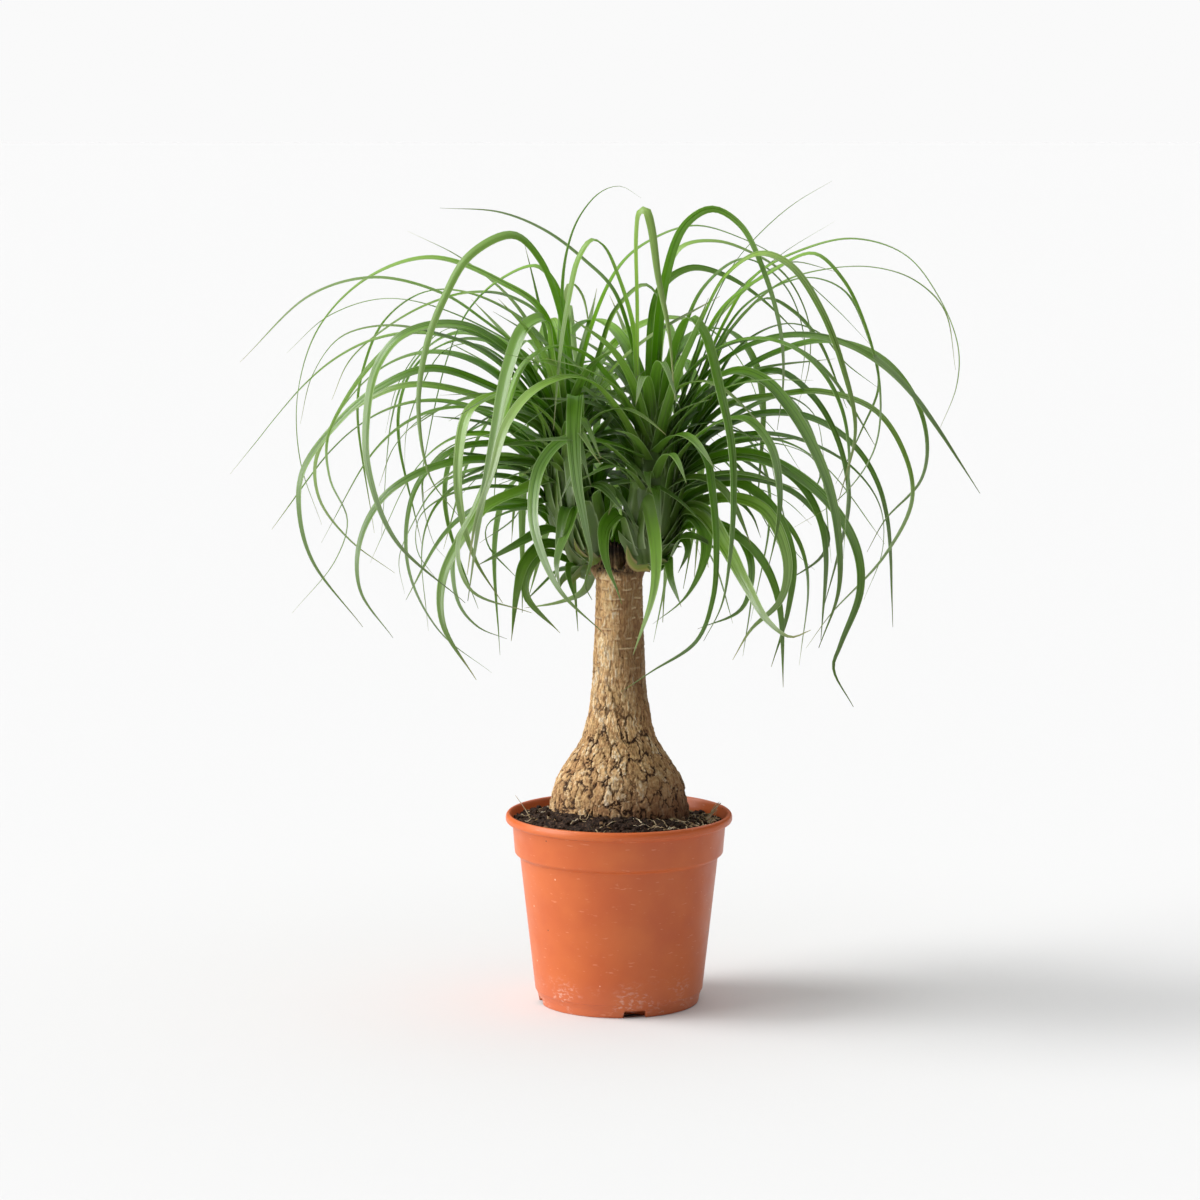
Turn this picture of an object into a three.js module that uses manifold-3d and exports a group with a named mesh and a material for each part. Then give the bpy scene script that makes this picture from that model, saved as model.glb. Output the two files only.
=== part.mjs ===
// A ponytail palm in a plastic nursery pot, in millimetres. +Z is up and the pot stands on z = 0 with its
// axis on the origin; the plant is seen from -Y, with +X to the right.
//
// The pieces are the pot, the soil in it, the swollen trunk that stands in a plain hole in the soil, and the
// two leafy heads that sprouted beside the dead cut top of the trunk. A head is one grown piece: a short shoot
// with its long strap leaves, each leaf sunk into the shoot by its root.

import * as THREE from 'three';
import { mergeVertices } from 'three/addons/utils/BufferGeometryUtils.js';
import Module from 'manifold-3d';

// Driving dimensions.
const POT_RADIUS = 85; // outside of the lip
const POT_HEIGHT = 144;
const WALL = 1.4;
const FIT_GAP = 0.4; // clearance between pieces that rest on or in each other
const ROUND = 40; // sides of what is turned about the pot's axis
const SOIL_LEVEL = 134;
const TRUNK_TOP = 329;
const BULB_RADIUS = 52.6;

const wasm = await Module();
wasm.setup();

// ---------------------------------------------------------------- shapes

// A closed mesh as a solid that can be joined and cut.
function solidOf(geometry) {
  const bare = geometry.clone();
  bare.deleteAttribute('normal');
  bare.deleteAttribute('uv');
  const merged = mergeVertices(bare, 1e-4);
  return new wasm.Manifold(new wasm.Mesh({
    numProp: 3,
    vertProperties: merged.attributes.position.array,
    triVerts: new Uint32Array(merged.index.array),
  }));
}

// A solid's outer shell alone, so that a pocket closed off by crossing leaves is filled.
function outerShell(solid) {
  return solid.decompose().reduce((outer, shell) => (shell.volume() > outer.volume() ? shell : outer));
}

// A solid as a three.js geometry.
function geometryOf(solid) {
  const mesh = solid.getMesh();
  const geometry = new THREE.BufferGeometry();
  geometry.setAttribute('position', new THREE.BufferAttribute(new Float32Array(mesh.vertProperties), 3));
  geometry.setIndex(new THREE.BufferAttribute(new Uint32Array(mesh.triVerts), 1));
  geometry.computeVertexNormals();
  return geometry;
}

// A solid of revolution about Z from a closed [radius, height] outline, up the outside and down the inside.
function turned(outline) {
  const points = outline.map(([radius, height]) => new THREE.Vector2(radius, height));
  return new THREE.LatheGeometry(points, ROUND).rotateX(Math.PI / 2);
}

// A closed skin over rings of points, each ring counter-clockwise as seen from the last ring's end. The first
// ring is capped; the last is capped too, or drawn to a point where a tip is given.
function skinned(rings, tip) {
  const sides = rings[0].length;
  const points = rings.flat();
  const faces = [];
  for (let r = 0; r + 1 < rings.length; r++) {
    for (let s = 0; s < sides; s++) {
      const a = r * sides + s;
      const b = r * sides + ((s + 1) % sides);
      faces.push(a, b, b + sides, a, b + sides, a + sides);
    }
  }
  for (let s = 1; s + 1 < sides; s++) faces.push(0, s + 1, s);
  const last = (rings.length - 1) * sides;
  if (tip) {
    points.push(tip);
    for (let s = 0; s < sides; s++) faces.push(last + s, last + ((s + 1) % sides), points.length - 1);
  } else {
    for (let s = 1; s + 1 < sides; s++) faces.push(last, last + s, last + s + 1);
  }
  const geometry = new THREE.BufferGeometry().setFromPoints(points);
  geometry.setIndex(faces);
  return geometry;
}

// Reads a table of [at, value] pairs at any place, straight between the pairs.
function between(table, at) {
  if (at <= table[0][0]) return table[0][1];
  for (let i = 1; i < table.length; i++) {
    const [low, high] = [table[i - 1], table[i]];
    if (at <= high[0]) return low[1] + ((high[1] - low[1]) * (at - low[0])) / (high[0] - low[0]);
  }
  return table[table.length - 1][1];
}

const radians = THREE.MathUtils.degToRad;
const smooth = (t) => THREE.MathUtils.smoothstep(t, 0, 1);
const mix = THREE.MathUtils.lerp;

// Random draws from 0 to 1 that are the same in every build.
function draws(seed) {
  let state = seed >>> 0;
  return () => {
    state = (Math.imul(state, 1664525) + 1013904223) >>> 0;
    return state / 4294967296;
  };
}

// ---------------------------------------------------------------- pot

// An injection-moulded nursery pot: tapered wall, stepped collar under a rolled lip, and a foot ring that is
// notched in four places. The floor stands on its middle pad, and a raised channel round it leads to the
// notches.
const FOOT_RADIUS = 60;
const CHANNEL = { inner: 34, outer: 52, height: 3.4 };
const FLOOR_TOP = CHANNEL.height + 1.8;
const BODY = { foot: FOOT_RADIUS + 2.4, from: 6.6, shoulder: 74.4, to: 111.5 };
const COLLAR = { foot: 78.2, from: 114, top: 80, to: 136.6 };
const NOTCH = { count: 4, first: 11, width: 19, depth: 14, height: 5.4 };
const DRAIN_HOLE = { count: 8, radius: 4, ring: 43 };

// The clear radius inside the pot by height, from its floor to its mouth.
const INSIDE = [
  [FLOOR_TOP, BODY.foot - WALL], [BODY.to + 1.5, BODY.shoulder - WALL],
  [COLLAR.from + 1.6, COLLAR.foot - WALL], [COLLAR.to + 0.4, COLLAR.top - WALL],
  [POT_HEIGHT - 1.4, COLLAR.top + 0.7],
];

function pot() {
  const mouth = COLLAR.top + 0.7;
  const outline = [
    [0, 0], [CHANNEL.inner, 0], [CHANNEL.inner + 1, CHANNEL.height], [CHANNEL.outer, CHANNEL.height],
    [CHANNEL.outer + 1.6, 0], [FOOT_RADIUS, 0], [FOOT_RADIUS + 1, BODY.from - 1], // foot ring
    [BODY.foot, BODY.from], [BODY.shoulder, BODY.to],
    [COLLAR.foot, COLLAR.from], [COLLAR.top, COLLAR.to],
    [84, 137.4], [POT_RADIUS, 138.4], [POT_RADIUS, 142], // rolled lip
    [83.6, POT_HEIGHT], [mouth + 1.2, POT_HEIGHT],
    ...INSIDE.map(([height, radius]) => [radius, height]).reverse(), [0, FLOOR_TOP],
  ];
  let body = solidOf(turned(outline));
  for (let i = 0; i < NOTCH.count; i++) {
    const cutter = new THREE.BoxGeometry(NOTCH.depth, NOTCH.width, 2 * NOTCH.height)
      .translate(FOOT_RADIUS, 0, 0)
      .rotateZ(radians(NOTCH.first - 90 + (i * 360) / NOTCH.count));
    body = body.subtract(solidOf(cutter));
  }
  for (let i = 0; i < DRAIN_HOLE.count; i++) {
    const drill = new THREE.CylinderGeometry(DRAIN_HOLE.radius, DRAIN_HOLE.radius, 4 * FLOOR_TOP, 8)
      .rotateX(Math.PI / 2)
      .translate(DRAIN_HOLE.ring, 0, 0)
      .rotateZ((i * 2 * Math.PI) / DRAIN_HOLE.count);
    body = body.subtract(solidOf(drill));
  }
  return body;
}

// ---------------------------------------------------------------- trunk

// The trunk's radius by height: a swollen base that rounds under in the soil, a flare and a slim neck.
const TRUNK_RADIUS = [
  [95, 0], [96, 22], [101, 34], [109, 43], [120, 49.5], [132, 52], [142, BULB_RADIUS], [152, 51.6],
  [160, 50.2], [168, 47.6], [176, 43.8], [184, 38.6], [192, 33], [199, 28.8], [206, 26], [214, 24],
  [222, 22.6], [232, 21.2], [246, 19.8], [262, 19], [278, 18.4], [300, 17.6], [318, 17.2], [TRUNK_TOP, 17.2],
];
const BARK = { depth: 1.5, from: 134, plates: 15 };
const RING_STEP = { bulb: 6, neck: 9.5, neckFrom: 210 };

// How deep the bark is cracked at a place: furrows that run up the trunk and waver, broken by cross cracks.
function barkFurrow(angle, height) {
  const grown = smooth((height - BARK.from) / 8) * (1 - smooth((TRUNK_TOP - 6 - height) / -6));
  const slim = mix(1, 0.35, smooth((height - 200) / 70));
  const waver = 0.9 * Math.sin(height * 0.085 + 2 * angle) + 0.5 * Math.sin(height * 0.21 - 3 * angle);
  const along = Math.abs(Math.sin((angle * BARK.plates) / 2 + waver));
  const across = Math.abs(Math.sin(height * 0.23 + 1.7 * Math.sin(3 * angle) + waver));
  return grown * slim * BARK.depth * (1 - Math.min(along, 0.25 + 0.75 * across));
}

// The two tilted stubs on the trunk that the shoots stand on, and the dead stump between them where the
// trunk's own tip was cut off. Each is a straight collar that may taper.
const STUBS = {
  left: { foot: [-5, 2, 312], top: [-17.5, 4, 336], radius: 10 },
  right: { foot: [6, -3, 312], top: [14.5, -6, 337], radius: 10.5 },
};
const STUMP = { foot: [-2, 1, 322], top: [-2.7, 1, 349], radius: 10.5, topRadius: 6 };

const vector = (place) => new THREE.Vector3(...place);
const stubAxis = ({ foot, top }) => vector(top).sub(vector(foot)).normalize();

function collar({ foot, top, radius, topRadius = radius }) {
  const [from, to] = [vector(foot), vector(top)];
  const turn = new THREE.Quaternion().setFromUnitVectors(new THREE.Vector3(0, 1, 0), stubAxis({ foot, top }));
  return new THREE.CylinderGeometry(topRadius, radius, from.distanceTo(to), 12)
    .applyQuaternion(turn)
    .translate(...from.add(to).multiplyScalar(0.5).toArray());
}

function trunk() {
  const heights = TRUNK_RADIUS.map(([height]) => height).filter((height) => height < BARK.from);
  heights[0] += 1;
  for (let z = BARK.from; z < RING_STEP.neckFrom; z += RING_STEP.bulb) heights.push(z);
  for (let z = RING_STEP.neckFrom; z < TRUNK_TOP; z += RING_STEP.neck) heights.push(z);
  heights.push(TRUNK_TOP);
  const rings = heights.map((z) => Array.from({ length: ROUND }, (_, s) => {
    const angle = (s * 2 * Math.PI) / ROUND;
    const radius = between(TRUNK_RADIUS, z) - barkFurrow(angle, z);
    return new THREE.Vector3(radius * Math.cos(angle), radius * Math.sin(angle), z);
  }));
  let body = solidOf(skinned(rings));
  for (const place of [STUBS.left, STUBS.right, STUMP]) body = body.add(solidOf(collar(place)));
  return body;
}

// ---------------------------------------------------------------- soil

// Peat compost that fills the pot to just under the lip, with a crumbly top that is heaped against the front
// left of the trunk, and a plain hole for the trunk.
const SOIL_RINGS = [77.7, 70, 64, 58, 53, 40]; // where the top has a ring of points, from the wall inwards
const CRUMB_HEIGHT = 1.5;
const HEAP = { azimuth: radians(-115), atWall: 7, atTrunk: 15 };
const HOLE_TOP = 160;

function soilTop(x, y) {
  const facing = 0.5 + 0.5 * Math.cos(Math.atan2(y, x) - HEAP.azimuth);
  const inward = smooth((SOIL_RINGS[0] - Math.hypot(x, y)) / (SOIL_RINGS[0] - SOIL_RINGS[4]));
  const crumb = Math.sin(x * 0.61 + 1.3 * Math.sin(y * 0.43)) * Math.cos(y * 0.57 - 1.1 * Math.sin(x * 0.39));
  return SOIL_LEVEL + facing * mix(HEAP.atWall, HEAP.atTrunk, inward) + CRUMB_HEIGHT * (crumb + 0.5);
}

function soil() {
  const wall = INSIDE.filter(([height]) => height < COLLAR.to);
  const outline = [
    [0, FLOOR_TOP + FIT_GAP], [wall[0][1] - FIT_GAP, FLOOR_TOP + FIT_GAP],
    ...wall.slice(1).map(([height, radius]) => [radius - FIT_GAP, height]),
    ...SOIL_RINGS.map((radius) => [radius, SOIL_LEVEL]), [0, SOIL_LEVEL],
  ];
  const body = turned(outline);
  const place = body.attributes.position;
  for (let i = 0; i < place.count; i++) {
    const [x, y, z] = [place.getX(i), place.getY(i), place.getZ(i)];
    if (z >= SOIL_LEVEL && Math.hypot(x, y) > SOIL_RINGS[5] + 1) place.setZ(i, soilTop(x, y));
  }
  const [bottom, ...buried] = TRUNK_RADIUS.filter(([height]) => height < HOLE_TOP);
  const hole = turned([
    [0, bottom[0] - FIT_GAP],
    ...buried.map(([height, radius]) => [radius + FIT_GAP, height - FIT_GAP]),
    [0, HOLE_TOP],
  ]);
  return solidOf(body).subtract(solidOf(hole));
}

// ---------------------------------------------------------------- leaves

// A leaf is a strap with a keel: widest just above its root, drawn out to a thread-thin tip.
const LEAF_WIDTH = [[0, 4], [0.08, 12.5], [0.2, 11.5], [0.5, 9], [0.8, 5], [1, 2]];
const JOINT_SPACING = 46;
const FEWEST_JOINTS = 5;

// The solid leaf along a line of points. The blade starts out level across its line and turns by `twist`
// degrees on its way to the tip.
function leaf(line, { wide = 1, twist = 0 }) {
  const curve = new THREE.CatmullRomCurve3(line, false, 'centripetal');
  const up = new THREE.Vector3(0, 0, 1);
  const joints = Math.max(FEWEST_JOINTS, Math.round(curve.getLength() / JOINT_SPACING));
  const rings = [];
  let side = null;
  for (let j = 0; j < joints; j++) {
    const t = j / joints;
    const along = curve.getTangentAt(t);
    side = side
      ? side.clone().addScaledVector(along, -side.dot(along)).normalize()
      : new THREE.Vector3().crossVectors(along, up).normalize();
    const across = side.clone().applyAxisAngle(along, radians(twist * t * t));
    const under = new THREE.Vector3().crossVectors(along, across);
    const width = wide * between(LEAF_WIDTH, t);
    const centre = curve.getPointAt(t);
    const keel = Math.max(0.9, 0.17 * width);
    rings.push([
      centre.clone().addScaledVector(across, width / 2),
      centre.clone().addScaledVector(under, keel),
      centre.clone().addScaledVector(across, -width / 2),
    ]);
  }
  return skinned(rings, curve.getPointAt(1));
}

// The leaves that the front view shows are laid out as an eye sees them from 2.8 m away, a little above the
// crown: a place in the view is counted in steps to the right and down from the corner of a 1200 x 1200 frame.
const EYE = { distance: 2800, height: 673, dip: radians(7.5), focus: 3790, axisAt: 619.3, middle: 600 };

// The point at `depth` (its Y) that is seen at a place in the view.
function sighted([right, down], depth) {
  const slope = Math.tan(Math.atan((EYE.middle - down) / EYE.focus) - EYE.dip);
  const away = EYE.distance + depth;
  const range = away * (Math.cos(EYE.dip) - slope * Math.sin(EYE.dip));
  return new THREE.Vector3(((right - EYE.axisAt) * range) / EYE.focus, depth, EYE.height + away * slope);
}

// The place in the view where a point is seen.
function placeOf({ x, y, z }) {
  const [away, rise] = [EYE.distance + y, z - EYE.height];
  const range = away * Math.cos(EYE.dip) - rise * Math.sin(EYE.dip);
  const lift = rise * Math.cos(EYE.dip) + away * Math.sin(EYE.dip);
  return [EYE.axisAt + (EYE.focus * x) / range, EYE.middle - (EYE.focus * lift) / range];
}

// Each row is a leaf: how far up its shoot it grows (0 to 1), how many millimetres its tip lies behind its
// root, its width against a common leaf's, and the places that it is seen to pass, root to tip.
const TRACED_LEAVES = {
  left: [
    { on: 0.72, back: -20, wide: 0.75, seen: [
      [530, 362], [480, 317], [440, 292], [374, 277], [310, 295], [240, 362]] },
    { on: 0.78, back: 10, wide: 0.85, seen: [
      [545, 315], [500, 281], [432, 257], [370, 276], [320, 325], [298, 390], [300, 460], [322, 525]] },
    { on: 0.6, back: 55, wide: 0.6, seen: [[545, 375], [480, 325], [392, 298], [330, 315], [287, 353]] },
    { on: 0.5, back: -30, wide: 1, seen: [
      [545, 420], [495, 357], [440, 334], [385, 325], [340, 337], [312, 375], [300, 424]] },
    { on: 0.66, back: 40, wide: 0.9, seen: [
      [548, 325], [510, 296], [470, 292], [430, 303], [390, 325], [350, 360], [332, 400]] },
    { on: 0.6, back: 75, wide: 0.7, seen: [
      [550, 350], [490, 300], [430, 290], [385, 320], [362, 375], [358, 415], [375, 533]] },
    { on: 0.5, back: -70, wide: 1.2, seen: [
      [530, 375], [480, 330], [440, 323], [400, 336], [376, 368], [366, 420], [368, 470], [395, 540],
      [465, 603]] },
    { on: 0.4, back: -15, wide: 0.9, seen: [
      [555, 425], [495, 388], [430, 368], [375, 390], [335, 425], [303, 470], [299, 510], [312, 560],
      [363, 627]] },
    { on: 0.36, back: 25, wide: 0.8, seen: [
      [550, 435], [495, 402], [415, 384], [370, 398], [335, 425], [316, 460], [320, 500], [350, 540],
      [395, 573]] },
    { on: 0.48, back: -45, wide: 1, seen: [
      [545, 390], [500, 345], [450, 325], [410, 332], [375, 360], [345, 400], [327, 440], [330, 480],
      [347, 520], [335, 560], [292, 613]] },
    { on: 0.4, back: 0, wide: 0.9, seen: [
      [550, 440], [520, 418], [470, 406], [430, 413], [395, 445], [379, 486]] },
    { on: 0.55, back: 85, wide: 0.5, seen: [
      [540, 385], [500, 350], [455, 327], [425, 345], [398, 385], [386, 433]] },
    { on: 0.5, back: 65, wide: 0.5, seen: [
      [540, 400], [480, 345], [445, 350], [420, 390], [407, 430], [405, 472]] },
    { on: 0.85, back: -100, wide: 1.15, seen: [
      [574, 400], [562, 320], [540, 260], [513, 235], [470, 255], [443, 300], [425, 350], [418, 410],
      [430, 478], [458, 516]] },
    { on: 0.8, back: 40, wide: 0.9, seen: [
      [568, 400], [562, 300], [538, 266], [500, 279], [468, 310], [448, 355], [430, 430], [422, 490],
      [435, 545], [446, 558]] },
    { on: 0.3, back: 60, wide: 0.8, seen: [[540, 437], [490, 434], [445, 450], [424, 478], [425, 505]] },
    { on: 0.3, back: -20, wide: 0.8, seen: [
      [540, 448], [490, 443], [455, 449], [420, 480], [407, 520], [410, 575], [440, 632], [492, 673]] },
    { on: 0.24, back: -35, wide: 1, seen: [
      [545, 470], [490, 459], [435, 466], [385, 495], [360, 540], [360, 590], [393, 638]] },
    { on: 0.2, back: 30, wide: 0.8, seen: [
      [545, 478], [490, 467], [440, 484], [412, 525], [399, 560], [405, 594]] },
    { on: 0.14, back: 0, wide: 0.8, seen: [
      [550, 497], [500, 486], [455, 492], [420, 516], [417, 550], [437, 580]] },
    { on: 0.2, back: -80, wide: 1.25, seen: [
      [555, 478], [520, 490], [485, 507], [460, 540], [442, 580], [443, 625], [476, 680]] },
    { on: 0.6, back: -140, wide: 1.35, seen: [
      [562, 430], [552, 350], [545, 317], [525, 325], [508, 365], [492, 445], [480, 510], [467, 601]] },
    { on: 0.4, back: -115, wide: 1.1, seen: [
      [565, 440], [530, 400], [497, 394], [470, 408], [458, 455], [460, 510], [475, 560], [502, 603]] },
    { on: 0.12, back: -50, wide: 0.8, seen: [
      [560, 500], [520, 506], [480, 513], [455, 545], [458, 602], [478, 627], [507, 639]] },
    { on: 0.1, back: 10, wide: 0.8, seen: [
      [560, 513], [540, 508], [510, 511], [487, 525], [488, 545], [519, 580]] },
    { on: 0.06, back: -60, wide: 1.1, seen: [[560, 524], [540, 531], [515, 545], [478, 565]] },
    { on: 0.24, back: 50, wide: 0.8, seen: [[560, 470], [540, 463], [525, 485], [517, 515], [480, 543]] },
    { on: 0.16, back: 70, wide: 0.5, seen: [[562, 500], [535, 480], [517, 500], [512, 543]] },
    { on: 0.5, back: -185, wide: 1.35, seen: [
      [575, 420], [575, 394], [573, 430], [576, 480], [585, 530], [590, 560], [584, 585], [591, 600]] },
    { on: 0.16, back: -120, wide: 1.7, seen: [[580, 500], [574, 505], [566, 530], [556, 565], [560, 592]] },
    { on: 0.05, back: -40, wide: 0.8, seen: [[572, 540], [552, 545], [530, 568], [526, 595], [560, 633]] },
    { on: 0.08, back: -75, wide: 0.9, seen: [[570, 530], [545, 542], [525, 562], [517, 590], [511, 641]] },
    { on: 0.05, back: 30, wide: 0.5, seen: [[575, 545], [565, 560], [525, 602]] },
    { on: 0.05, back: 60, wide: 0.6, seen: [[592, 565], [585, 590], [560, 602], [525, 608]] },
    { on: 0.05, back: -60, wide: 0.5, seen: [[575, 545], [568, 570], [576, 603]] },
    { on: 0.3, back: -60, wide: 1.1, seen: [[588, 505], [597, 490], [606, 487], [613, 497], [608, 515]] },
    { on: 0.95, back: -30, wide: 0.55, seen: [
      [568, 380], [562, 290], [568, 245], [580, 215], [600, 192], [620, 186], [641, 198]] },
    { on: 0.8, back: 60, wide: 0.5, seen: [[560, 400], [545, 355], [515, 303], [462, 258], [408, 231]] },
    { on: 0.9, back: 40, wide: 0.4, seen: [[560, 400], [545, 330], [535, 285], [524, 241]] },
    { on: 0.85, back: 90, wide: 1, seen: [[570, 400], [565, 320], [572, 283], [583, 295], [592, 340]] },
    { on: 0.6, back: -75, wide: 1.1, seen: [
      [585, 400], [600, 350], [615, 310], [645, 284], [661, 300], [672, 350], [676, 420], [683, 500],
      [702, 560]] },
    { on: 0.9, back: 20, wide: 0.8, seen: [
      [590, 330], [620, 265], [650, 240], [695, 225], [745, 239], [780, 258], [800, 275], [840, 312],
      [870, 344]] },
  ],
  right: [
    { on: 0.72, back: 0, wide: 0.85, seen: [
      [690, 400], [725, 320], [755, 275], [800, 250], [853, 238], [905, 254], [938, 295], [958, 345],
      [957, 385], [938, 433]] },
    { on: 0.66, back: 60, wide: 0.7, seen: [
      [690, 400], [730, 330], [780, 283], [830, 268], [875, 267], [915, 280], [945, 310], [956, 370]] },
    { on: 0.8, back: -40, wide: 0.9, seen: [
      [680, 400], [720, 310], [770, 272], [813, 253], [842, 278], [865, 325], [880, 390], [874, 450],
      [840, 498], [793, 528]] },
    { on: 0.7, back: 40, wide: 0.7, seen: [
      [690, 400], [740, 310], [780, 284], [812, 277], [845, 291], [868, 335], [879, 385], [862, 430],
      [836, 484]] },
    { on: 0.8, back: -70, wide: 1.25, seen: [
      [660, 420], [690, 345], [725, 275], [760, 253], [790, 265], [820, 308], [842, 365], [855, 430],
      [838, 502]] },
    { on: 0.45, back: -120, wide: 1.3, seen: [
      [668, 450], [700, 390], [735, 370], [765, 380], [790, 408], [812, 445], [828, 485], [837, 530],
      [838, 590], [818, 648]] },
    { on: 0.92, back: -30, wide: 1.1, seen: [
      [655, 380], [665, 280], [685, 225], [712, 209], [740, 225], [763, 270], [780, 330], [783, 380],
      [777, 430]] },
    { on: 0.86, back: 30, wide: 1, seen: [
      [655, 380], [660, 300], [680, 248], [715, 241], [750, 252], [785, 275], [808, 320], [809, 365],
      [798, 405]] },
    { on: 0.6, back: 60, wide: 0.9, seen: [
      [690, 430], [730, 330], [765, 298], [795, 312], [820, 342], [847, 408]] },
    { on: 0.56, back: 20, wide: 1, seen: [
      [690, 440], [735, 350], [785, 323], [820, 333], [845, 362], [877, 387]] },
    { on: 0.5, back: -20, wide: 1, seen: [
      [690, 430], [740, 372], [780, 350], [825, 340], [878, 355], [912, 392], [927, 440], [921, 480],
      [885, 520], [867, 552]] },
    { on: 0.42, back: -50, wide: 1, seen: [
      [690, 440], [730, 404], [775, 395], [820, 391], [875, 410], [905, 455], [912, 500], [885, 555],
      [830, 615], [806, 648]] },
    { on: 0.3, back: 10, wide: 0.9, seen: [
      [690, 470], [720, 441], [755, 433], [800, 439], [850, 465], [880, 505], [883, 550], [864, 600]] },
    { on: 0.3, back: 70, wide: 0.7, seen: [
      [690, 470], [735, 451], [775, 443], [812, 457], [821, 475], [803, 507]] },
    { on: 0.3, back: -90, wide: 1.2, seen: [
      [680, 475], [735, 452], [775, 462], [825, 498], [855, 545], [860, 590], [840, 645], [833, 668],
      [853, 707]] },
    { on: 0.2, back: -30, wide: 0.85, seen: [
      [680, 490], [740, 477], [795, 493], [828, 535], [822, 556], [782, 584]] },
    { on: 0.2, back: 40, wide: 0.7, seen: [[680, 495], [740, 485], [785, 500], [812, 525]] },
    { on: 0.2, back: -60, wide: 1, seen: [
      [680, 500], [735, 482], [770, 505], [792, 555], [788, 610], [771, 667]] },
    { on: 0.15, back: -100, wide: 1, seen: [
      [680, 510], [730, 497], [765, 510], [787, 560], [780, 600], [750, 630], [732, 660]] },
    { on: 0.35, back: 20, wide: 1.1, seen: [
      [680, 470], [715, 432], [750, 420], [772, 455], [783, 510], [795, 550], [815, 570]] },
    { on: 0.35, back: -130, wide: 1.1, seen: [
      [675, 460], [710, 425], [745, 418], [770, 445], [779, 490], [777, 525], [767, 570]] },
    { on: 0.48, back: -20, wide: 1.1, seen: [
      [680, 450], [730, 390], [775, 370], [812, 395], [838, 440], [849, 500], [838, 555], [822, 613]] },
    { on: 0.4, back: 50, wide: 0.9, seen: [[680, 460], [740, 412], [785, 396], [815, 415], [826, 470]] },
    { on: 0.8, back: 50, wide: 0.4, seen: [
      [680, 400], [710, 310], [735, 262], [765, 228], [795, 203], [832, 181]] },
    { on: 0.74, back: 20, wide: 0.4, seen: [[690, 390], [730, 300], [780, 255], [835, 221]] },
    { on: 0.2, back: -165, wide: 1.5, seen: [
      [646, 515], [646, 495], [652, 520], [656, 560], [651, 600], [632, 655]] },
    { on: 0.1, back: -130, wide: 1.1, seen: [
      [638, 520], [622, 511], [606, 524], [603, 545], [608, 570], [616, 589], [621, 604]] },
    { on: 0.4, back: -150, wide: 1.3, seen: [
      [655, 475], [668, 447], [688, 437], [706, 458], [712, 490], [716, 545], [712, 600], [695, 642],
      [650, 672], [620, 692]] },
    { on: 0.65, back: -125, wide: 1.3, seen: [
      [660, 420], [674, 345], [690, 316], [704, 332], [720, 390], [731, 445], [733, 500], [729, 560],
      [721, 605], [703, 641]] },
    { on: 0.14, back: -140, wide: 1.3, seen: [
      [665, 515], [682, 507], [702, 511], [725, 545], [745, 583], [768, 622], [790, 637], [810, 630]] },
    { on: 0.12, back: -105, wide: 1.1, seen: [
      [668, 525], [690, 513], [704, 530], [705, 555], [685, 597], [652, 624]] },
    { on: 0.06, back: -60, wide: 0.8, seen: [[655, 540], [665, 548], [671, 580], [681, 607]] },
    { on: 0.08, back: -30, wide: 0.9, seen: [[660, 540], [680, 533], [688, 548], [678, 573]] },
    { on: 0.06, back: -50, wide: 1.1, seen: [[660, 548], [685, 535], [705, 541], [720, 554]] },
    { on: 0.2, back: -10, wide: 1.2, seen: [[690, 505], [735, 500], [752, 515], [761, 538]] },
    { on: 0.1, back: -80, wide: 0.7, seen: [
      [700, 520], [732, 530], [748, 552], [751, 580], [740, 610], [697, 629]] },
    { on: 0.85, back: 40, wide: 0.5, seen: [
      [640, 380], [615, 292], [585, 260], [545, 230], [500, 212], [440, 208]] },
    { on: 0.86, back: -50, wide: 1.25, seen: [
      [638, 380], [634, 330], [620, 280], [603, 244], [592, 239], [578, 258], [568, 300], [560, 350],
      [553, 430]] },
    { on: 0.95, back: -95, wide: 1.2, seen: [
      [640, 400], [637, 300], [637, 216], [643, 211], [650, 240], [658, 280], [668, 330], [674, 400]] },
    { on: 0.5, back: -130, wide: 1.2, seen: [
      [640, 430], [615, 385], [585, 353], [555, 345], [525, 362], [508, 400], [495, 455], [475, 505],
      [457, 545], [470, 590], [531, 613]] },
    { on: 0.45, back: -150, wide: 1.2, seen: [
      [640, 450], [615, 405], [590, 380], [565, 376], [530, 392], [505, 425], [490, 475], [475, 520],
      [466, 575]] },
    { on: 0.3, back: -165, wide: 1.25, seen: [
      [640, 480], [615, 450], [590, 436], [562, 440], [540, 465], [532, 510], [538, 545], [560, 592],
      [601, 632]] },
    { on: 0.75, back: 45, wide: 1.1, seen: [
      [660, 420], [680, 340], [705, 285], [745, 258], [785, 285], [805, 340], [800, 390]] },
    { on: 0.7, back: 85, wide: 1, seen: [[670, 440], [700, 345], [745, 290], [790, 262], [838, 272]] },
    { on: 0.86, back: 70, wide: 0.7, seen: [
      [650, 380], [660, 290], [690, 268], [725, 275], [760, 297], [805, 340]] },
  ],
};

// A laid-out leaf's line. Its depth eases from the root's to the tip's along the way.
function tracedLine(root, seen, back) {
  const route = [placeOf(root), ...seen];
  const passed = [0];
  for (let i = 1; i < route.length; i++) {
    passed.push(passed[i - 1] + Math.hypot(route[i][0] - route[i - 1][0], route[i][1] - route[i - 1][1]));
  }
  const whole = passed[passed.length - 1];
  const depths = passed.slice(1).map((way) => root.y + back * smooth(way / whole));
  return [root.clone(), ...seen.map((place, i) => sighted(place, depths[i]))];
}

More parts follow.
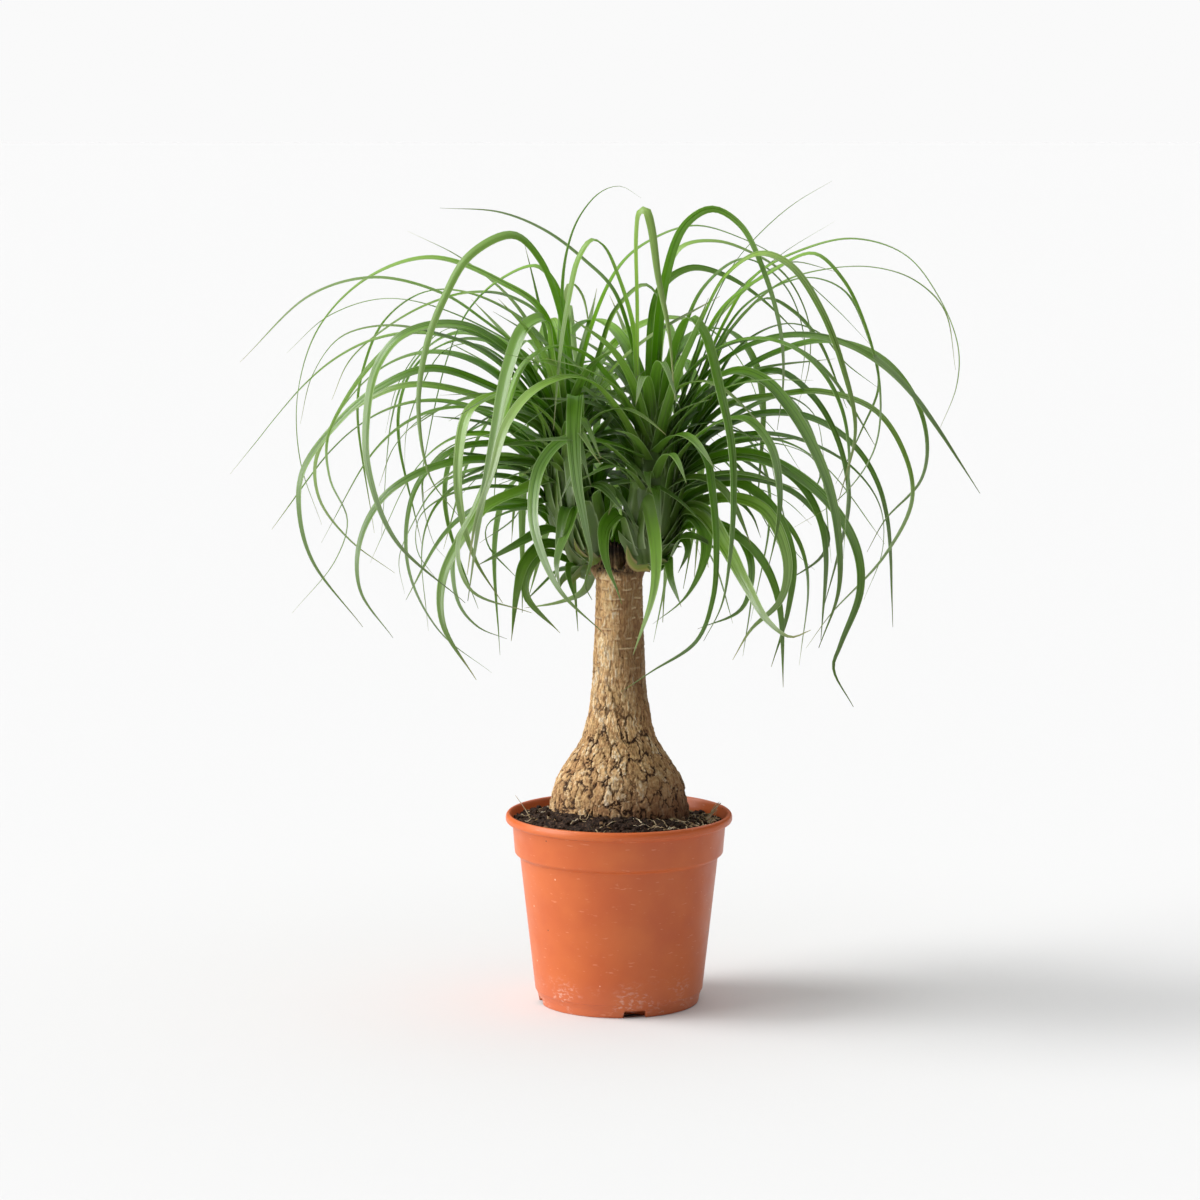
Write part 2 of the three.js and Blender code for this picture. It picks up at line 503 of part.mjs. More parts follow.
// The line of a leaf behind those: it leaves the shoot at `lift` degrees above level and bends over to `fall`.
function archedLine(root, { azimuth, lift, fall, length, sway }) {
  const steps = 12;
  const line = [root.clone()];
  const at = root.clone();
  for (let i = 0; i < steps; i++) {
    const t = (i + 0.5) / steps;
    const slope = radians(mix(lift, fall, smooth(Math.min(1, t * 1.15))));
    const heading = radians(azimuth + sway * t * t);
    const step = length / steps;
    at.x += step * Math.cos(slope) * Math.cos(heading);
    at.y += step * Math.cos(slope) * Math.sin(heading);
    at.z += step * Math.sin(slope);
    line.push(at.clone());
  }
  return line;
}

// The heads: where each shoot runs, the seed of its draws, and its leaves behind: how many, and the azimuths
// between which they spiral.
const HEADS = {
  left: { shoot: [[-36, 7, 372], [-40, 8, 398], [-40, 8, 424]], seed: 7, behind: 24, from: 25, to: 205 },
  right: { shoot: [[23, -9, 374], [24, -10, 400], [24, -10, 430]], seed: 11, behind: 24, from: -25, to: 150 },
};
const SHOOT_RADIUS = [[0, 9.6], [0.15, 12.5], [0.4, 15.5], [0.75, 13.5], [1, 7]];
const GOLDEN_SHARE = 0.381966;

// A shoot's line: straight out of its stub, then up through the points of its own route.
function shootLine(name) {
  const [from, out] = [vector(STUBS[name].top), stubAxis(STUBS[name])];
  const start = [FIT_GAP, 5, 12].map((way) => from.clone().addScaledVector(out, way));
  return new THREE.CatmullRomCurve3([...start, ...HEADS[name].shoot.map(vector)]);
}

function shoot(curve) {
  const sides = 9;
  const steps = 8;
  const rings = [];
  for (let i = 0; i <= steps; i++) {
    const t = i / steps;
    const along = curve.getTangentAt(t);
    const across = new THREE.Vector3().crossVectors(along, new THREE.Vector3(0, 1, 0)).normalize();
    const beside = new THREE.Vector3().crossVectors(along, across);
    const radius = between(SHOOT_RADIUS, t);
    rings.push(Array.from({ length: sides }, (_, s) => {
      const angle = (s * 2 * Math.PI) / sides;
      return curve.getPointAt(t)
        .addScaledVector(across, radius * Math.cos(angle))
        .addScaledVector(beside, radius * Math.sin(angle));
    }));
  }
  return skinned(rings);
}

// All the leaves of a head in the order that they grow, each as a function from a dodge to its solid. A dodge
// bends a laid-out leaf back or forward by 3 mm a step, and turns another by 1 degree a step.
function leavesOf(name, curve) {
  const { seed, behind, from, to } = HEADS[name];
  const draw = draws(seed);
  const laidOut = TRACED_LEAVES[name].map(({ on, back, wide, seen }) => {
    const root = curve.getPointAt(mix(0.12, 0.92, on));
    const twist = mix(-60, 60, draw());
    return (dodge) => leaf(tracedLine(root, seen, back + 3 * dodge), { wide, twist });
  });
  const spiral = Array.from({ length: behind }, (_, i) => {
    const on = (i + 0.5) / behind;
    const root = curve.getPointAt(mix(0.15, 0.92, on));
    const course = {
      azimuth: mix(from, to, (i * GOLDEN_SHARE) % 1) + mix(-8, 8, draw()),
      lift: mix(18, 82, Math.pow(on, 0.7)) + mix(-6, 6, draw()),
      fall: mix(-50, -115, draw()),
      length: mix(270, 360, draw()) * mix(0.62, 1, Math.min(1, on * 1.6)),
      sway: mix(-25, 25, draw()),
    };
    const shape = { wide: mix(0.8, 1.15, draw()), twist: mix(-60, 60, draw()) };
    return (dodge) => leaf(archedLine(root, { ...course, azimuth: course.azimuth + dodge }), shape);
  });
  return [...laidOut, ...spiral];
}

// A leaf that would run through the trunk or the other head takes the first of these dodges that brings it
// clear, or isn't grown.
const DODGES = [0, 5, -5, 10, -10, 16, -16, 23, -23, 31, -31];

function grownClear(grow, others) {
  for (const dodge of DODGES) {
    const solid = solidOf(grow(dodge));
    const box = solid.boundingBox();
    const near = others.filter(({ box: other }) => (
      [0, 1, 2].every((k) => box.min[k] < other.max[k] && other.min[k] < box.max[k])));
    if (near.every(({ solid: other }) => solid.intersect(other).isEmpty())) return [{ solid, box }];
  }
  return [];
}

// Both heads grow leaf by leaf in turn, each keeping clear of the trunk and of what the other has grown.
function heads(trunkSolid) {
  const stem = { solid: trunkSolid, box: trunkSolid.boundingBox() };
  const growing = Object.keys(HEADS).map((name) => {
    const curve = shootLine(name);
    const solid = solidOf(shoot(curve));
    return { leaves: leavesOf(name, curve), solids: [{ solid, box: solid.boundingBox() }] };
  });
  for (let i = 0; i < Math.max(...growing.map(({ leaves }) => leaves.length)); i++) {
    growing.forEach(({ leaves, solids }, k) => {
      if (i < leaves.length) solids.push(...grownClear(leaves[i], [stem, ...growing[1 - k].solids]));
    });
  }
  return growing.map(({ solids }) => outerShell(wasm.Manifold.union(solids.map(({ solid }) => solid))));
}

// ---------------------------------------------------------------- the part

const plant = new THREE.Group();

function piece(name, solid, color, roughness) {
  const material = new THREE.MeshStandardMaterial({ color, roughness, metalness: 0 });
  const mesh = new THREE.Mesh(geometryOf(solid), material);
  mesh.name = name;
  plant.add(mesh);
}

piece('pot', pot(), 0xd9703f, 0.42);
piece('soil', soil(), 0x3a2a1e, 0.95);
const trunkSolid = trunk();
piece('trunk', trunkSolid, 0xa5815a, 0.85);
const grownHeads = heads(trunkSolid);
Object.keys(HEADS).forEach((name, k) => piece(`head_${name}`, grownHeads[k], 0x5d8a35, 0.45));

export default plant;
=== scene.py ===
# A ponytail palm in a plastic nursery pot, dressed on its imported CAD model. Z is up, the pot stands on z = 0 and
# the plant is seen from -Y. Sizes are in millimetres, and each mesh is turned to metres as it is made.

import math
import random

import bmesh
import bpy
import numpy as np
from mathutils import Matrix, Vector, noise
from mathutils.bvhtree import BVHTree


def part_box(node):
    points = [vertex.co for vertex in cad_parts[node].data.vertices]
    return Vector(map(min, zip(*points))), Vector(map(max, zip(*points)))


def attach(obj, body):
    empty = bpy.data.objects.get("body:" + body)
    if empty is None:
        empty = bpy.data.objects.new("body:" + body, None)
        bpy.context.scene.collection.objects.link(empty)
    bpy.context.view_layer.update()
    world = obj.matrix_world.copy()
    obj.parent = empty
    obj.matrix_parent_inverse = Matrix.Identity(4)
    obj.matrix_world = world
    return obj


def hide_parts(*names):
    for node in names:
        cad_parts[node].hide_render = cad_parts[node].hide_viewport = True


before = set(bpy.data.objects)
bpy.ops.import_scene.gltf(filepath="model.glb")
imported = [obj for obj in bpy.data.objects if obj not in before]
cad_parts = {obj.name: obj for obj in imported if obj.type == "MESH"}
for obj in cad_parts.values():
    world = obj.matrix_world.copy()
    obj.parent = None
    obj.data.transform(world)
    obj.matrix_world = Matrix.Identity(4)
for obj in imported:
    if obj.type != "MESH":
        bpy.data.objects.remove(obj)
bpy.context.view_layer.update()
MM = 0.001

# ------------------------------------------------------------------------------------------------------ camera
# The photographer's eye: 2.8 m in front of the pot, a little above the crown and looking down at it. The view is
# a square of 1200 steps, and the focus is the lens's length in those steps.

EYE = {"distance": 2800, "height": 673, "dip": math.radians(7.5), "focus": 3790, "axis_at": 619.3}
VIEW_STEPS = 1200
MIDDLE = VIEW_STEPS / 2

camera_data = bpy.data.cameras.new("camera")
camera_data.sensor_width = 36
camera_data.lens = camera_data.sensor_width * EYE["focus"] / VIEW_STEPS
camera = bpy.data.objects.new("camera", camera_data)
aside = (MIDDLE - EYE["axis_at"]) * EYE["distance"] / EYE["focus"]
camera.location = Vector((aside, -EYE["distance"], EYE["height"])) * MM
camera.rotation_euler = (math.pi / 2 - EYE["dip"], 0, 0)
bpy.context.scene.collection.objects.link(camera)
bpy.context.scene.camera = camera


def sighted(right, down, depth):
    """The point at depth (its Y) that the eye sees at a place in the view."""
    slope = math.tan(math.atan((MIDDLE - down) / EYE["focus"]) - EYE["dip"])
    away = EYE["distance"] + depth
    reach = away * (math.cos(EYE["dip"]) - slope * math.sin(EYE["dip"]))
    return np.array(((right - EYE["axis_at"]) * reach / EYE["focus"], depth, EYE["height"] + away * slope))


# --------------------------------------------------------------------------------------------------------- pot
# The pot is one injection moulding in terracotta-coloured polypropylene: a tapered wall, a stepped collar, a
# slim lip, and a foot ring with four drain notches round a floor with eight holes. It is satin, with lime scuffs.

POT_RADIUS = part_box("pot")[1].x / MM
POT_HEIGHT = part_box("pot")[1].z / MM
POT_SIDES = 200
MOUTH = POT_RADIUS - 4.3
FOOT_RADIUS = 60
NOTCH = {"count": 4, "first": 11, "top": 15, "foot": 19, "depth": 14, "height": 5.4}
DRAIN_HOLE = {"count": 8, "radius": 4, "ring": 43}
HOLE_SIDES = 24

# The moulding's section as (radius, height, rounding), up the outside and down the inside.
POT_SECTION = [
    (0, 0, 0), (34, 0, 0.5), (35, 3.4, 0.5), (52, 3.4, 0.5), (53.6, 0, 0.5), (FOOT_RADIUS, 0, 1),
    (61, 5.6, 0.6), (62.5, 9.6, 0.3), (63.1, 10.2, 0.3), (74.4, 111.5, 1.2), (78.2, 114, 1.2), (80, 136.6, 0.6),
    (84, 137.4, 0.8), (POT_RADIUS, 138.6, 1), (POT_RADIUS, 142, 1.6), (83.6, POT_HEIGHT, 1),
    (MOUTH + 1.2, POT_HEIGHT, 1), (MOUTH, 142.4, 1), (78.6, 137, 1.2), (76.8, 115.6, 1.2), (73, 113, 1.2),
    (61, 5.2, 3), (0, 5.2, 0),
]


def rounded(section, steps=4):
    """A section's points with each corner drawn as a curve that starts and ends its rounding away."""
    points = []
    for i, (*corner, rounding) in enumerate(section):
        corner = np.array(corner, float)
        if rounding == 0:
            points.append(corner)
            continue
        ends = []
        for other in (section[i - 1], section[i + 1]):
            way = np.array(other[:2], float) - corner
            length = np.linalg.norm(way)
            ends.append(corner + way / length * min(rounding, length / 2))
        for t in np.linspace(0, 1, steps):
            points.append((1 - t) ** 2 * ends[0] + 2 * t * (1 - t) * corner + t * t * ends[1])
    return points


def skin(rings, closed_ends=True):
    """Vertices and faces of a tube over rings of points, each ring closed on itself."""
    rings = np.asarray(rings, float)
    count, sides = rings.shape[:2]
    faces = []
    for r in range(count - 1):
        for s in range(sides):
            a, b = r * sides + s, r * sides + (s + 1) % sides
            faces.append((a, b, b + sides, a + sides))
    if closed_ends:
        faces.append(tuple(range(sides - 1, -1, -1)))
        faces.append(tuple(range((count - 1) * sides, count * sides)))
    return rings.reshape(-1, 3), faces


def mesh_piece(name, vertices, faces, sharp=40, **values):
    """A named object at the origin with a smooth mesh, given in millimetres, and a number or vector per vertex
    for each value that its material reads."""
    mesh = bpy.data.meshes.new(name)
    mesh.from_pydata((np.asarray(vertices) * MM).tolist(), [], faces)
    for value, numbers in values.items():
        numbers = np.asarray(numbers, np.float32)
        kind, field = ("FLOAT", "value") if numbers.ndim == 1 else ("FLOAT_VECTOR", "vector")
        mesh.attributes.new(value, kind, "POINT").data.foreach_set(field, numbers.ravel())
    bm = bmesh.new()
    bm.from_mesh(mesh)
    bmesh.ops.remove_doubles(bm, verts=bm.verts, dist=1e-7)
    bmesh.ops.recalc_face_normals(bm, faces=bm.faces)
    bm.to_mesh(mesh)
    bm.free()
    mesh.shade_smooth()
    mesh.set_sharp_from_angle(angle=math.radians(sharp))
    piece = bpy.data.objects.new(name, mesh)
    bpy.context.scene.collection.objects.link(piece)
    return piece


def turned(section, sides):
    """Rings of points that turn a (radius, height) section about the pot's axis."""
    angles = np.arange(sides) * 2 * math.pi / sides
    return [np.stack((r * np.cos(angles), r * np.sin(angles), np.full(sides, z)), 1) for r, z in section]


def cut_away(piece, cutters):
    """Takes the cutters out of the piece, and removes them."""
    for cutter in cutters:
        cut = piece.modifiers.new("cut", "BOOLEAN")
        cut.operation = "DIFFERENCE"
        cut.solver = "EXACT"
        cut.object = cutter
    bpy.context.view_layer.update()
    solid = bpy.data.meshes.new_from_object(piece.evaluated_get(bpy.context.evaluated_depsgraph_get()))
    piece.modifiers.clear()
    piece.data = solid
    for cutter in cutters:
        bpy.data.objects.remove(cutter)


def notch_cutter(turn):
    """A wedge through the foot ring, narrower at its top, at an angle about the pot's axis."""
    inner, outer = FOOT_RADIUS - NOTCH["depth"] / 2, FOOT_RADIUS + NOTCH["depth"] / 2
    corners = []
    for z, width in ((-NOTCH["height"], NOTCH["foot"]), (NOTCH["height"] - 1, NOTCH["top"] + 1.2),
                     (NOTCH["height"], NOTCH["top"] - 1.2)):
        for x, y in ((inner, -width / 2), (outer, -width / 2), (outer, width / 2), (inner, width / 2)):
            corners.append((x * math.cos(turn) - y * math.sin(turn), x * math.sin(turn) + y * math.cos(turn), z))
    return mesh_piece("cutter", *skin(np.reshape(corners, (3, 4, 3))))


def hole_cutter(turn):
    """A round drill through the floor."""
    angles = np.arange(HOLE_SIDES) * 2 * math.pi / HOLE_SIDES
    x = DRAIN_HOLE["ring"] * math.cos(turn) + DRAIN_HOLE["radius"] * np.cos(angles)
    y = DRAIN_HOLE["ring"] * math.sin(turn) + DRAIN_HOLE["radius"] * np.sin(angles)
    return mesh_piece("cutter", *skin([np.stack((x, y, np.full(HOLE_SIDES, z)), 1) for z in (-5, 12)]))


pot = mesh_piece("nursery_pot", *skin(turned(rounded(POT_SECTION), POT_SIDES), closed_ends=False))
first_notch = math.radians(NOTCH["first"] - 90)
cut_away(pot, [notch_cutter(first_notch + i * 2 * math.pi / NOTCH["count"]) for i in range(NOTCH["count"])]
         + [hole_cutter(i * 2 * math.pi / DRAIN_HOLE["count"]) for i in range(DRAIN_HOLE["count"])])


def linear(colour):
    """An sRGB hex colour as the linear RGBA that a shader takes."""
    channels = [int(colour[i:i + 2], 16) / 255 for i in (1, 3, 5)]
    return (*(c / 12.92 if c <= 0.04045 else ((c + 0.055) / 1.055) ** 2.4 for c in channels), 1)


def add_node(tree, kind, inputs=(), stops=(), out=0, **settings):
    """Adds a node with its settings and gives one of its outputs. Inputs are numbers, hex colours or other nodes'
    outputs by socket name or place, and stops are (place, colour or grey) pairs for a ramp."""
    node = tree.nodes.new("ShaderNode" + kind)
    for setting, value in settings.items():
        setattr(node, setting, value)
    for socket, value in dict(inputs).items():
        if isinstance(value, bpy.types.NodeSocket):
            tree.links.new(value, node.inputs[socket])
        else:
            node.inputs[socket].default_value = linear(value) if isinstance(value, str) else value
    if stops:
        ramp = node.color_ramp
        while len(ramp.elements) < len(stops):
            ramp.elements.new(1)
        for element, (place, colour) in zip(ramp.elements, stops):
            element.position = place
            element.color = linear(colour) if isinstance(colour, str) else (colour, colour, colour, 1)
    return node.outputs[out]


def new_material(name, **sockets):
    """A material of one Principled shader, with the numbers that are the same all over set on its sockets."""
    material = bpy.data.materials.new(name)
    material.use_nodes = True
    shader = material.node_tree.nodes["Principled BSDF"]
    for socket, value in sockets.items():
        shader.inputs[socket.replace("_", " ")].default_value = value
    return material, material.node_tree, shader


def moulded_polypropylene():
    """Polypropylene, moulded: an even terracotta satin, faintly clouded and fine-grained, with white lime bloom
    and scuffs near the foot, and a few pale and dark specks."""
    material, tree, shader = new_material("moulded_polypropylene", IOR=1.49, Metallic=0)
    place = add_node(tree, "TexCoord", out="Object")
    height = add_node(tree, "SeparateXYZ", {0: place}, out="Z")

    def patches(size, detail, stops, stretch=(1, 1, 1)):
        spread = add_node(tree, "Mapping", {"Vector": place, "Scale": stretch})
        cloud = add_node(tree, "TexNoise", {"Vector": spread, "Scale": 1 / (size * MM), "Detail": detail})
        return add_node(tree, "ValToRGB", {0: cloud}, stops)

    def specks(spacing, radius, share):
        cells = add_node(tree, "TexVoronoi", {"Vector": place, "Scale": 1 / (spacing * MM)}).node.outputs
        edge = radius / spacing
        dot = add_node(tree, "ValToRGB", {0: cells["Distance"]}, ((edge * 0.6, 1), (edge, 0)))
        chosen = add_node(tree, "SeparateColor", {0: cells["Color"]})
        some = add_node(tree, "Math", {0: chosen, 1: share}, operation="LESS_THAN")
        return add_node(tree, "Math", {0: dot, 1: some}, operation="MULTIPLY")

    clouds = patches(38, 3, ((0.35, 0), (0.65, 1)))
    foot = add_node(tree, "MapRange", {0: height, 1: 0.004, 2: 0.030, 3: 1, 4: 0})
    haze = add_node(tree, "Math", {0: foot, 1: 0.1}, operation="MULTIPLY")
    scuffs = patches(7, 2, ((0.67, 0), (0.75, 0.45)), (1, 1, 4))
    lime = foot
    for cover in (patches(3.5, 7, ((0.5, 0), (0.68, 1)), (1, 1, 1.9)),
                  patches(26, 2, ((0.5, 0), (0.62, 0.7)), (1, 1, 1.6))):
        lime = add_node(tree, "Math", {0: lime, 1: cover}, operation="MULTIPLY")
    colour = "#c95e29"
    for share, coat in ((clouds, "#d2692f"), (haze, "#dba78e"), (scuffs, "#e79a74"), (lime, "#efd9cb"),
                        (specks(16, 0.9, 0.2), "#f1b79a"), (specks(11, 0.8, 0.2), "#5a2517")):
        colour = add_node(tree, "Mix", {0: share, 6: colour, 7: coat}, out=2, data_type="RGBA")
    tree.links.new(colour, shader.inputs["Base Color"])
    gloss = patches(12, 3, ((0.3, 0.36), (0.7, 0.46)))
    tree.links.new(add_node(tree, "Math", {0: gloss, 1: lime}, operation="ADD"), shader.inputs["Roughness"])
    grain = add_node(tree, "TexNoise", {"Vector": place, "Scale": 1 / (0.8 * MM), "Detail": 2})
    bump = add_node(tree, "Bump", {"Height": grain, "Strength": 0.25, "Distance": 0.05 * MM})
    tree.links.new(bump, shader.inputs["Normal"])
    return material


pot.data.materials.append(moulded_polypropylene())
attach(pot, "root")
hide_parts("pot")

# -------------------------------------------------------------------------------------------------------- soil
# Peat compost that fills the pot to just under the lip and is heaped against the front left of the trunk: a
# crumbly dark top with loose clods and bark chips, pale root fibres mostly at the right, and dry straws at the rim.

SOIL_LEVEL = 134
CRUMB_HEIGHT = 1.5
SOIL_SIDES = 340
TOP_RINGS = 38
SOIL_WALL = [(60.6, 5.7), (72.5, 112), (76.3, 115.4), (77.5, 131.5)]
SOIL_REACH = {"wall": 78, "trunk": 51.6}
HEAP = {"azimuth": math.radians(-115), "at_wall": 7, "at_trunk": 15}
BULB_UNDER = [(0, 94.6), (22, 95.6), (34, 100.6), (43, 108.6), (49.8, 119.6), (51, 126)]

random.seed(19)


def eased(value, low, high):
    """0 below low, 1 above high, and a smooth rise between."""
    t = min(1.0, max(0.0, (value - low) / (high - low)))
    return t * t * (3 - 2 * t)


def mix(low, high, share):
    return low + (high - low) * share


def crumb_top(x, y):
    """The height of the soil's top at a place: the heap, low swells, clumps of 4 to 7 mm and a fine crumb."""
    facing = 0.5 + 0.5 * math.cos(math.atan2(y, x) - HEAP["azimuth"])
    heap = facing * mix(HEAP["at_trunk"], HEAP["at_wall"], eased(math.hypot(x, y), 53, 77.5))
    swell = math.sin(x * 0.61 + 1.3 * math.sin(y * 0.43)) * math.cos(y * 0.57 - 1.1 * math.sin(x * 0.39))
    clump = 0.5 - noise.voronoi(Vector((x, y, 3)) / 5.5)[0][0]
    crumb = 0.5 - noise.voronoi(Vector((x, y, 9)) / 2.2)[0][0]
    return SOIL_LEVEL + heap + CRUMB_HEIGHT * (0.6 * swell + 0.4) + 2.6 * clump + 1.1 * crumb


def peat_body():
    """The soil as a ring of crumbs between the pot's wall and the trunk, closed underneath round a hole."""
    top = [(r, None) for r in np.linspace(SOIL_REACH["wall"], SOIL_REACH["trunk"], TOP_RINGS)]
    section = [(0, 5.7), *SOIL_WALL, *top, *reversed(BULB_UNDER)]
    angles = np.arange(SOIL_SIDES) * 2 * math.pi / SOIL_SIDES
    rings = []
    for radius, height in section:
        x, y = radius * np.cos(angles), radius * np.sin(angles)
        z = np.full(SOIL_SIDES, height or 0.0)
        if height is None:
            z = np.array([crumb_top(*place) for place in zip(x, y)])
            if radius == SOIL_REACH["wall"]:
                x, y = x + 0.2 * (z - SOIL_LEVEL) * np.cos(angles), y + 0.2 * (z - SOIL_LEVEL) * np.sin(angles)
        rings.append(np.stack((x, y, z), 1))
    return skin(rings, closed_ends=False)


def merged(bodies):
    """Vertices and faces of several bodies, and each body's number at its vertices."""
    vertices, faces, numbers = [], [], []
    start = 0
    for number, (points, sides) in enumerate(bodies):
        vertices.append(points)
        faces.extend(tuple(start + corner for corner in face) for face in sides)
        numbers.extend([number] * len(points))
        start += len(points)
    return np.concatenate(vertices), faces, np.array(numbers)


def pebble_form():
    """A small round form's points and faces, before it is made rough."""
    bm = bmesh.new()
    bmesh.ops.create_icosphere(bm, subdivisions=2, radius=1)
    points = np.array([v.co for v in bm.verts])
    faces = [tuple(v.index for v in face.verts) for face in bm.faces]
    bm.free()
    return points, faces


CLODS = 760
CHIP_SHARE = 0.16
LOOSE_RING = (53.5, 76.5)


def clod(points, faces):
    """One loose clod or chip on the soil, and how far its colour is from peat towards bark."""
    reach = math.sqrt(random.uniform(LOOSE_RING[0] ** 2, LOOSE_RING[1] ** 2))
    turn = random.uniform(0, 2 * math.pi)
    x, y = reach * math.cos(turn), reach * math.sin(turn)
    chip = random.random() < CHIP_SHARE
    size = 0.7 + 1.7 * random.random() ** 3
    stretch = (size * 1.5, size * 0.7, size * 0.35) if chip else (size, size * 0.85, size * 0.75)
    bumps = np.array([1 + 0.35 * noise.noise(Vector(p) * 1.7 + Vector((x, y, 0))) for p in points])
    rough = points * bumps[:, None] * stretch
    spin, tip = random.uniform(0, 2 * math.pi), random.uniform(-0.6, 0.6)
    tipped = rough @ np.array(((math.cos(tip), 0, -math.sin(tip)), (0, 1, 0), (math.sin(tip), 0, math.cos(tip))))
    spun = tipped @ np.array(((math.cos(spin), math.sin(spin), 0), (-math.sin(spin), math.cos(spin), 0),
                              (0, 0, 1)))
    tone = random.uniform(0.55, 1) if chip else random.uniform(0, 0.35)
    return spun + (x, y, crumb_top(x, y) + 0.3 * size), faces, tone


def peat_material():
    """Peat, milled and damp: near-black brown and quite matt, with reddish and tan bark bits."""
    material, tree, shader = new_material("milled_peat", IOR=1.4, Roughness=0.92)
    place = add_node(tree, "TexCoord", out="Object")
    fine = add_node(tree, "TexNoise", {"Vector": place, "Scale": 1 / (1.6 * MM), "Detail": 5})
    crumb = add_node(tree, "ValToRGB", {0: fine}, ((0.3, "#120a06"), (0.5, "#2a1b12"), (0.62, "#4a3425"),
                                                   (0.75, "#7a6148")))
    tone = add_node(tree, "Attribute", out="Fac", attribute_name="tone")
    bark = add_node(tree, "ValToRGB", {0: tone}, ((0, "#1c120b"), (0.4, "#3a2618"), (0.7, "#6b4a30"),
                                                  (1, "#a98a63")))
    loose = add_node(tree, "Math", {0: tone, 1: 0.02}, operation="GREATER_THAN")
    share = add_node(tree, "Math", {0: loose, 1: 0.7}, operation="MULTIPLY")
    colour = add_node(tree, "Mix", {0: share, 6: crumb, 7: bark}, out=2, data_type="RGBA")
    tree.links.new(colour, shader.inputs["Base Color"])
    bump = add_node(tree, "Bump", {"Height": fine, "Strength": 0.6, "Distance": 0.5 * MM})
    tree.links.new(bump, shader.inputs["Normal"])
    return material


form = pebble_form()
clods = [clod(*form) for _ in range(CLODS)]
bed = peat_body()
vertices, faces, numbers = merged([bed] + [(points, sides) for points, sides, _ in clods])
tones = np.array([0] + [0.03 + tone for *_, tone in clods])
soil = mesh_piece("peat_compost", vertices, faces, tone=tones[numbers])
soil.data.materials.append(peat_material())
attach(soil, "root")
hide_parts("soil")


def strand(line, radii, sides=6):
    """A thin round strand along a line of points."""
    line = np.asarray(line, float)
    ways = np.gradient(line, axis=0)
    rings = []
    for point, way, radius in zip(line, ways, radii):
        way = Vector(way).normalized()
        side = way.cross(Vector((0.3, 0.2, 1))).normalized()
        over = way.cross(side)
        angles = np.arange(sides) * 2 * math.pi / sides
        rings.append(point + radius * (np.outer(np.cos(angles), side) + np.outer(np.sin(angles), over)))
    return skin(rings)


FIBRE_STEPS = 26


def root_fibre(azimuth, reach, length, heading):
    """A pale fibre that wanders over the soil, here and there lifted off it."""
    x, y = reach * math.cos(azimuth), reach * math.sin(azimuth)
    line = []
    for _ in range(FIBRE_STEPS):
        away = math.hypot(x, y)
        if away > 75 or away < 53.6:
            heading += math.pi * 0.55
        x += math.cos(heading) * length / FIBRE_STEPS
        y += math.sin(heading) * length / FIBRE_STEPS
        heading += random.uniform(-0.5, 0.5)
        line.append((x, y, crumb_top(x, y) + 0.9 + 1.3 * noise.noise(Vector((x, y, reach)) / 7)))
    thick = random.uniform(0.3, 0.62)
    return strand(line, thick * np.linspace(1, 0.35, len(line)))


def straw(foot, top, bow, radius):
    """A dry stalk from its foot to its top, bowed to one side."""
    foot, top = np.array(foot, float), np.array(top, float)
    t = np.linspace(0, 1, 12)[:, None]
    return strand(foot + (top - foot) * t + np.array(bow) * np.sin(math.pi * t), radius * np.linspace(1, 0.5, 12))


RIGHT_FRONT = math.radians(-35)
FIBRES = {"right_front": 26, "all_round": 22}
STRAWS = {"at_rim": 9, "lying": 12, "out": 66}
fibres = [root_fibre(random.gauss(RIGHT_FRONT, 0.45), random.uniform(55, 72), random.uniform(14, 34),
                     random.uniform(0, 6.3)) for _ in range(FIBRES["right_front"])]
fibres += [root_fibre(random.uniform(0, 6.3), random.uniform(55, 72), random.uniform(8, 22),
                      random.uniform(0, 6.3)) for _ in range(FIBRES["all_round"])]
straws = [straw((-66, -14, 140), (-77.5, -8, 158), (2.5, 0, -2.5), 0.42)]
for _ in range(STRAWS["at_rim"]):
    along = random.uniform(-30, 8)
    straws.append(straw((STRAWS["out"] + random.uniform(-3, 3), along, 137),
                        (76 + random.uniform(-3, 1.5), along + 6, 149),
                        (random.uniform(-1, 1), 0, random.uniform(0, 2)), random.uniform(0.25, 0.5)))
for _ in range(STRAWS["lying"]):
    turn = random.uniform(0, 2 * math.pi)
    x, y = STRAWS["out"] * math.cos(turn), STRAWS["out"] * math.sin(turn)
    x_end, y_end = x + random.uniform(-8, 8), y + random.uniform(-8, 8)
    straws.append(straw((x, y, crumb_top(x, y)), (x_end, y_end, crumb_top(x_end, y_end) + 1), (0, 0, 1), 0.4))


def dry_fibre():
    """Dry root and straw: pale cream to straw brown, matt, streaked along its length."""
    material, tree, shader = new_material("dry_root_fibre", IOR=1.45, Roughness=0.75)
    place = add_node(tree, "TexCoord", out="Object")
    patch = add_node(tree, "TexNoise", {"Vector": place, "Scale": 1 / (6 * MM), "Detail": 4})
    colour = add_node(tree, "ValToRGB", {0: patch}, ((0.3, "#7d6446"), (0.5, "#c2ab84"), (0.7, "#e6dcc4")))
    tree.links.new(colour, shader.inputs["Base Color"])
    return material


roots = mesh_piece("root_fibres_and_straws", *merged(fibres + straws)[:2])
roots.data.materials.append(dry_fibre())
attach(roots, "root")

# ------------------------------------------------------------------------------------------------------- trunk
# The trunk was beheaded years ago and swelled at its foot. Its corky tan bark has cracked into plates on the
# bulb, runs in long plates up the neck and ends in leaf-scar rings; stubs and a dead ragged stump top it.

